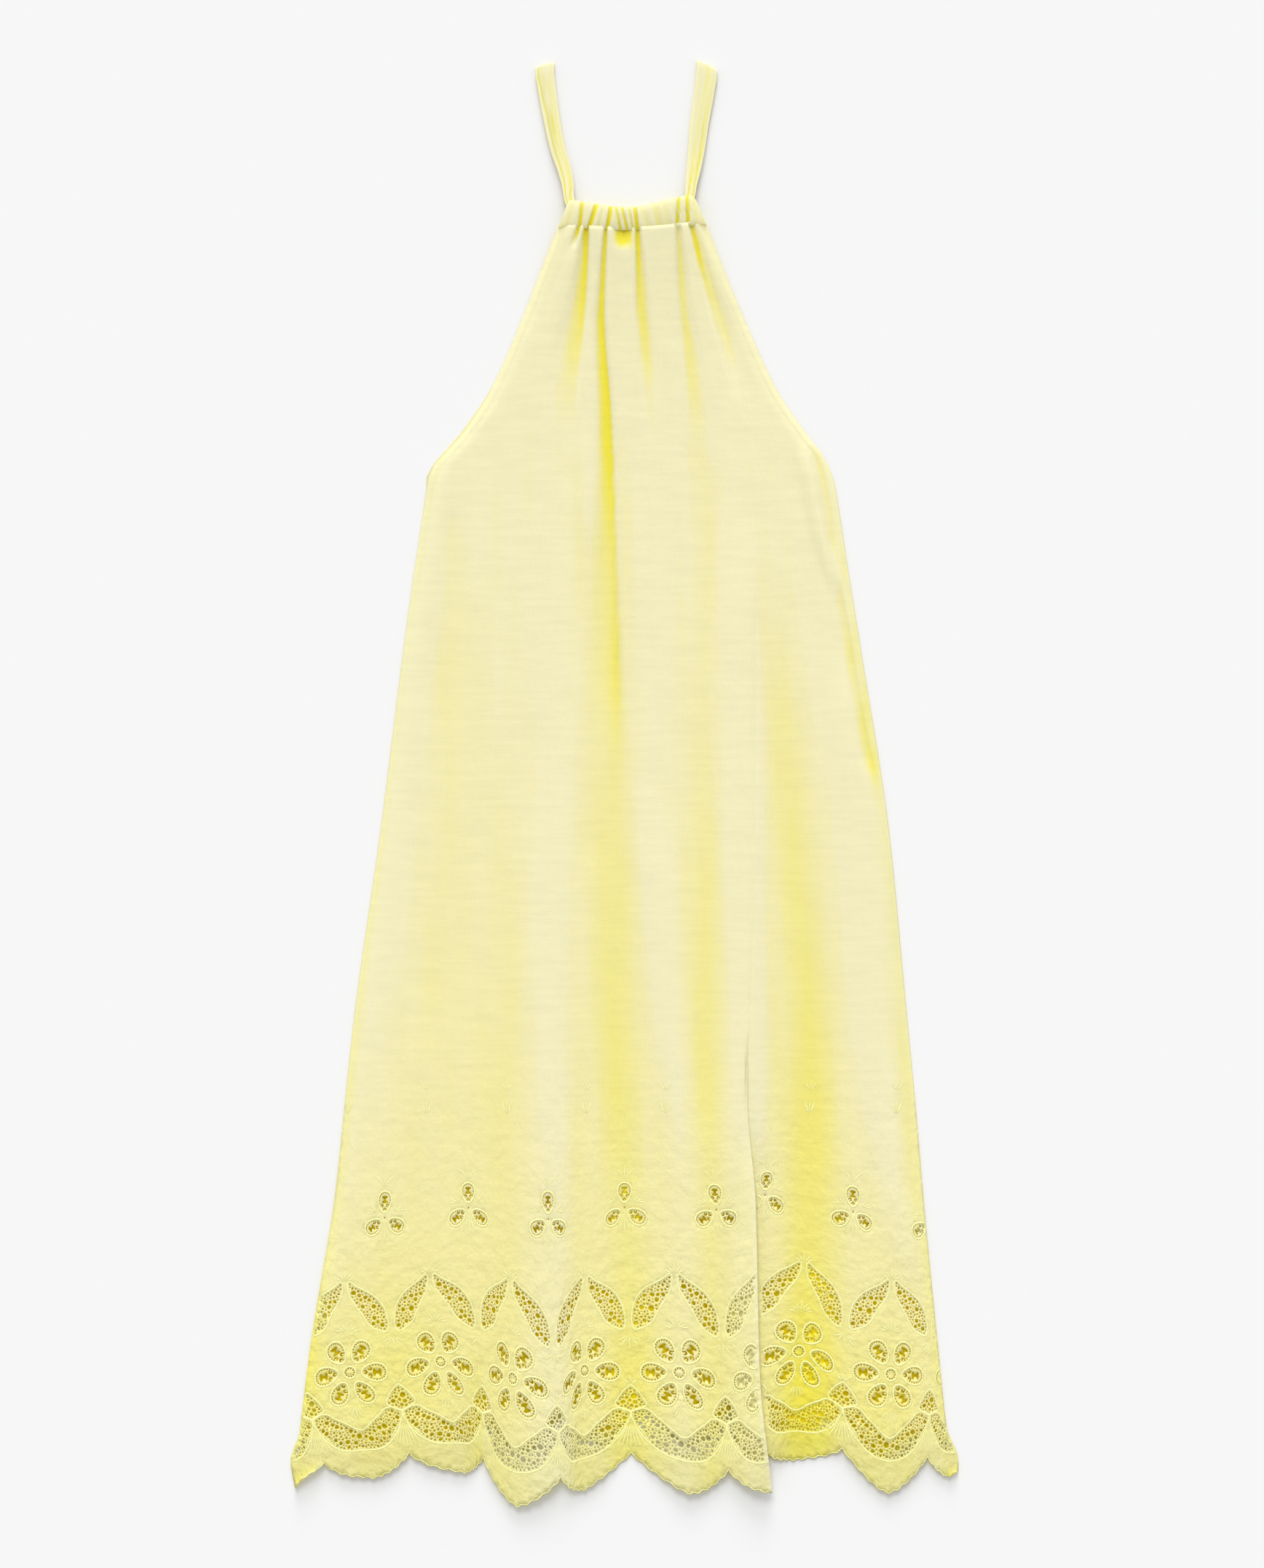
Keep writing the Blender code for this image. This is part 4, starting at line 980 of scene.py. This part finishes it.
def add_casing(name, node, floor, height, slope, corners, gathers, stations, around):
    """A gathered channel in rounded rings along the neck, open at its slanted ends."""
    (low_left, top_left), (low_right, top_right) = CASING_ENDS
    share = np.linspace(0, 1, stations)[:, None]
    angle = np.linspace(2 * np.pi, 0, around, endpoint=False)[None, :] + np.pi / around
    across = 0.5 + 0.5 * np.sign(np.cos(angle)) * abs(np.cos(angle))**CASING_ROUNDNESS
    up = 0.5 + 0.5 * np.sign(np.sin(angle)) * abs(np.sin(angle))**CASING_ROUNDNESS
    low_x = low_left[0] + (low_right[0] - low_left[0]) * share
    over_left, over_right = (corners[0] - top_left[0]) * up, (corners[1] - top_right[0]) * up
    top_x = top_left[0] + over_left + (top_right[0] + over_right - top_left[0] - over_left) * share
    low_y, top_y = read(NECK_SEAM, low_x), read(CASING_TOP, top_x)
    x = low_x + (top_x - low_x) * across
    dip = 0 * x
    for low, top, depth, reach in gathers:
        aside = (x - low - (top - low) * across) / reach
        dip = np.maximum(dip, depth * np.clip(1 - aside**2, 0, 1)**1.5)
    dip = np.minimum(dip, GATHER_MOST * height) * (1 - GATHER_TOP * across)
    y = low_y + (top_y - GATHER_DRAW * dip - low_y) * across
    z = floor + (height - slope * (1 - across)**2 - dip * (up > 0.5)) * up
    points = np.stack([x, y, z], axis=-1)
    girth = np.cumsum(np.linalg.norm(np.diff(points, axis=1, prepend=points[:, :1]), axis=2), axis=1)
    flat = np.stack([x * GATHER_CUT, girth], axis=-1)
    # Painted shade in the creases of the gathers, deeper as they get deeper.
    painted_shade = GATHER_LIT + np.clip(dip / GATHER_REACH, 0, 1)**1.3 * GATHER_SHADE
    piece = new_piece(name, points.reshape(-1, 3), grid_faces(stations, around, ring=True),
                      flat.reshape(-1, 2), painted_shade.ravel())
    add_wall(piece, SHEET)
    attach(piece, "root")
    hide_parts(node)
    return piece


casing_cloth = cloth_material("casing_cloth")
back_casing = add_casing("back_neck_casing", "back_casing", 0.0, BACK_CASING_HEIGHT, 0.0,
                         (CASING_ENDS[0][1][0], CASING_ENDS[1][1][0]), BACK_GATHERS, 110, 24)
front_casing = add_casing("front_neck_casing", "front_casing", FRONT_CASING_FLOOR, FRONT_CASING_HEIGHT,
                          CASING_SLOPE, FRONT_CORNERS, GATHERS, 230, 28)
for casing, cut, under in ((back_casing, (0.152, 0.056), "floor"),
                           (front_casing, (0.165, 0.061), "back_neck_casing")):
    casing.data.materials.append(casing_cloth)

# ---------------------------------------------------------------------------------------------
# Straps. Two soft tubes of the same cloth, sewn and pressed flat. Each comes out of the front
# casing, turns over at the shoulder and goes back under itself into the back casing.
STRAP_THICK, STRAP_WALL = 2.0, 0.5
STRAP_LIFT = 2.9                        # its centre above a casing's underside
STRAP_DOWN = (500, 590, 608, 800)       # the back run comes down between the middle two of these
STRAP_FLATNESS = (0.75, 0.45)           # powers of its section across and up
STRAP_CUT = 6                           # width of flat cloth to a radian round it
CREASE_MOST = 0.75                      # greatest depth of a crease, in the strap's thickness
STRAP_LIT, CREASE_SHADE, CREASE_SHADE_MOST = 0.42, 0.62, 0.5      # painted shade: its value on the strap, what a crease adds, and the most it adds
FOLD_START, FOLD_ROUND = (1.0, 690, 30), (1.6, 6)          # the top fold's slant and rounded corners
LEFT_STRAP = (                          # x, y, width, height of the front run's centre, x of the back run
    (-0.4, 566.5, 15, 9.2, -0.4), (-14, 566.5, 15, 9.2, -14), (-30, 567, 15, 9.2, -30),
    (-42, 569, 13, 9.2, -42), (-50, 573, 11, 9.2, -50), (-56, 580, 10, 9.2, -56),
    (-58.5, 589, 10.5, 8.2, -58.5), (-59.5, 600, 12, 7.2, -59.7), (-62.8, 615, 13.8, 6.0, -62.9),
    (-70, 638, 15.2, 4.7, -70), (-75.2, 664, 16.7, 4.1, -75.2), (-79.6, 691, 18.2, 3.9, -79.6),
    (-82.5, 712, 18.8, 3.9, -82.5),
)
RIGHT_STRAP = (
    (0.4, 566.5, 15, 9.2, 0.4), (14, 567, 15, 9.2, 14), (30, 568, 15, 9.2, 30),
    (44, 571, 13, 9.2, 44), (53, 575.5, 11, 9.2, 53), (60, 582.5, 10, 9.2, 60),
    (63, 592, 10.5, 8.2, 63), (64, 602, 12, 7.2, 64.2), (66.3, 615, 14.2, 6.0, 66.4),
    (69.4, 638, 17.2, 4.7, 69.4), (72.4, 664, 19, 4.1, 72.4), (76.6, 691, 20.4, 3.9, 76.6),
    (79.5, 712, 20.6, 3.9, 79.5),
)
FOLD_TOP = 720.0
STRAP_STEPS, TURN_STEPS, STRAP_AROUND = 90, 12, 36
LEFT_CREASES = (                        # height, then place across from -1 to 1, depth and width
    ((585, -0.62, 0.9, 0.13), (620, -0.42, 1.2, 0.12), (660, -0.45, 1.2, 0.09), (712, -0.72, 0.9, 0.09)),
    ((585, 0.25, 0.7, 0.16), (620, 0.15, 0.8, 0.11), (660, 0.0, 0.9, 0.10), (712, -0.3, 0.4, 0.10)),
    ((585, -0.1, 0.7, 0.12), (600, 0.65, 0.6, 0.12), (650, 0.6, 0.5, 0.10), (712, 0.5, 0.2, 0.10)),
    ((585, 0.6, 0.3, 0.10), (640, 0.3, 0.3, 0.12), (680, 0.35, 0.6, 0.08), (712, 0.2, 0.3, 0.08)),
)
RIGHT_CREASES = (
    ((585, 0.62, 0.9, 0.14), (620, 0.52, 1.0, 0.12), (660, 0.42, 0.9, 0.09), (712, 0.33, 0.8, 0.08)),
    ((585, -0.2, 0.8, 0.14), (620, -0.32, 0.7, 0.12), (660, -0.35, 0.3, 0.10), (712, -0.4, 0.1, 0.10)),
    ((585, 0.15, 0.7, 0.12), (610, 0.1, 0.6, 0.12), (650, 0.05, 0.4, 0.10), (712, 0.0, 0.3, 0.10)),
    ((585, -0.6, 0.5, 0.10), (640, 0.75, 0.5, 0.12), (680, 0.7, 0.6, 0.08), (712, 0.66, 0.3, 0.08)),
)


def add_strap(name, node, table, creases, slant):
    """A pressed tube: front run up from the casing, over at the top, and back under itself."""
    knots, t = np.arange(len(table)), np.linspace(0, len(table) - 1, STRAP_STEPS)
    x, y, width, z, back_x = (smooth_curve(knots, column(table, i), t) for i in range(5))
    low = STRAP_THICK / 2
    back_z = smooth_curve(STRAP_DOWN, (STRAP_LIFT, STRAP_LIFT, low, low), y)
    radius, share = (z[-1] - low) / 2, np.linspace(0, 1, TURN_STEPS + 2)[1:-1]
    over = np.pi * share
    places = np.vstack([
        np.stack([x, y, z], axis=1),
        np.stack([x[-1] + (back_x[-1] - x[-1]) * share, FOLD_TOP + radius * np.sin(over),
                  low + radius + radius * np.cos(over)], axis=1),
        np.stack([back_x, y, back_z], axis=1)[::-1],
    ])
    half = np.concatenate([width, np.full(TURN_STEPS, width[-1]), width[::-1]]) / 2
    heading = np.gradient(places, axis=0)
    heading /= np.linalg.norm(heading, axis=1)[:, None]
    count = np.arange(len(places))
    aside = np.stack([heading[:, 1], -heading[:, 0], 0 * half], axis=1)
    aside *= np.where(count < STRAP_STEPS + TURN_STEPS / 2, 1, -1)[:, None]
    turning = (count >= STRAP_STEPS) & (count < STRAP_STEPS + TURN_STEPS)
    aside[turning] = (1, 0, 0)
    aside /= np.linalg.norm(aside, axis=1)[:, None]
    upward = np.cross(aside, heading)
    angle = np.linspace(0, 2 * np.pi, STRAP_AROUND, endpoint=False)
    out = np.sign(np.cos(angle)) * abs(np.cos(angle))**STRAP_FLATNESS[0]
    up = np.sign(np.sin(angle)) * abs(np.sin(angle))**STRAP_FLATNESS[1]
    front = np.clip((STRAP_STEPS + TURN_STEPS / 2 - count) / 8, 0, 1)[:, None]
    dip = np.zeros((len(places), STRAP_AROUND))
    for crease in creases:
        at, depth, reach = (read(crease, places[:, 1], i)[:, None] for i in (1, 2, 3))
        dip += depth * np.exp(-((out[None, :] - at) / reach)**2) * (up > 0) * front
    rise = up[None, :] * STRAP_THICK / 2 - np.minimum(dip, CREASE_MOST * STRAP_THICK)
    points = (places[:, None, :] + aside[:, None, :] * out[None, :, None] * half[:, None, None]
              + upward[:, None, :] * rise[:, :, None])
    near_fold = change(*FOLD_START, points[:, :, 1])
    at = (points[:, :, 0] - x[-1]) / half[:, None]
    points[:, :, 1] += near_fold * (slant * at - FOLD_ROUND[0] * at**FOLD_ROUND[1])
    run = np.cumsum(np.linalg.norm(np.diff(places, axis=0, prepend=places[:1]), axis=1))
    flat = np.stack(np.broadcast_arrays(run[:, None], angle * STRAP_CUT), axis=-1)
    # Painted shade in the strap's creases, by their depth.
    painted_shade = STRAP_LIT + np.clip(CREASE_SHADE * dip, 0, CREASE_SHADE_MOST)
    piece = new_piece(name, points.reshape(-1, 3), grid_faces(len(places), STRAP_AROUND, ring=True),
                      flat.reshape(-1, 2), painted_shade.ravel())
    add_wall(piece, STRAP_WALL)
    piece.data.materials.append(strap_cloth)
    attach(piece, "root")
    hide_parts(node)
    return piece


strap_cloth = cloth_material("strap_cloth")
add_strap("left_strap", "strap_left", LEFT_STRAP, LEFT_CREASES, 2.7)
add_strap("right_strap", "strap_right", RIGHT_STRAP, RIGHT_CREASES, -5.0)

# ---------------------------------------------------------------------------------------------
# Studio. A pale paper floor under the dress, a long lens straight above it, one broad light from
# above and one from low behind the neck, which lays the hem's soft shadow, and a bright surround.
PIXEL = 0.73                            # millimetres of the floor to a pixel of a 1736 x 2154 image
IMAGE = (1736, 2154)
VIEW_MIDDLE = (4.7, 0.7)
CAMERA_HEIGHT, SENSOR = 6000.0, 36
SUNS = (("key", 1.45, 30, (-42, -8, 0)), ("low", 1.9, 24, (-72, 0, 0)))     # strength, width, tilt
SURROUND = 0.76
bpy.ops.mesh.primitive_plane_add(size=40, location=(0, 0, 0))
floor = bpy.context.object
floor.name = "floor"
paper = new_material("floor", {"Base Color": (0.724, 0.724, 0.726, 1), "Roughness": 0.9,
                               "Specular IOR Level": 0.1})[0]
floor.data.materials.append(paper)

camera = bpy.data.objects.new("camera", bpy.data.cameras.new("camera"))
camera.data.sensor_fit = "VERTICAL"
camera.data.sensor_height = SENSOR
camera.data.lens = SENSOR * CAMERA_HEIGHT / (IMAGE[1] * PIXEL)
camera.location = (VIEW_MIDDLE[0] * MM, VIEW_MIDDLE[1] * MM, CAMERA_HEIGHT * MM)
camera.data.clip_end = 50
bpy.context.scene.collection.objects.link(camera)
bpy.context.scene.camera = camera

for name, energy, angle, tilt in SUNS:
    light = bpy.data.objects.new(name, bpy.data.lights.new(name, "SUN"))
    light.data.energy = energy
    light.data.angle = np.radians(angle)
    light.rotation_euler = np.radians(tilt)
    bpy.context.scene.collection.objects.link(light)
world = bpy.data.worlds.new("studio")
world.use_nodes = True
world.node_tree.nodes["Background"].inputs["Color"].default_value = (1, 1, 1, 1)
world.node_tree.nodes["Background"].inputs["Strength"].default_value = SURROUND
bpy.context.scene.world = world
bpy.context.scene.view_settings.view_transform = "Standard"
bpy.context.scene.cycles.diffuse_bounces = 8
bpy.context.scene.cycles.max_bounces = 12
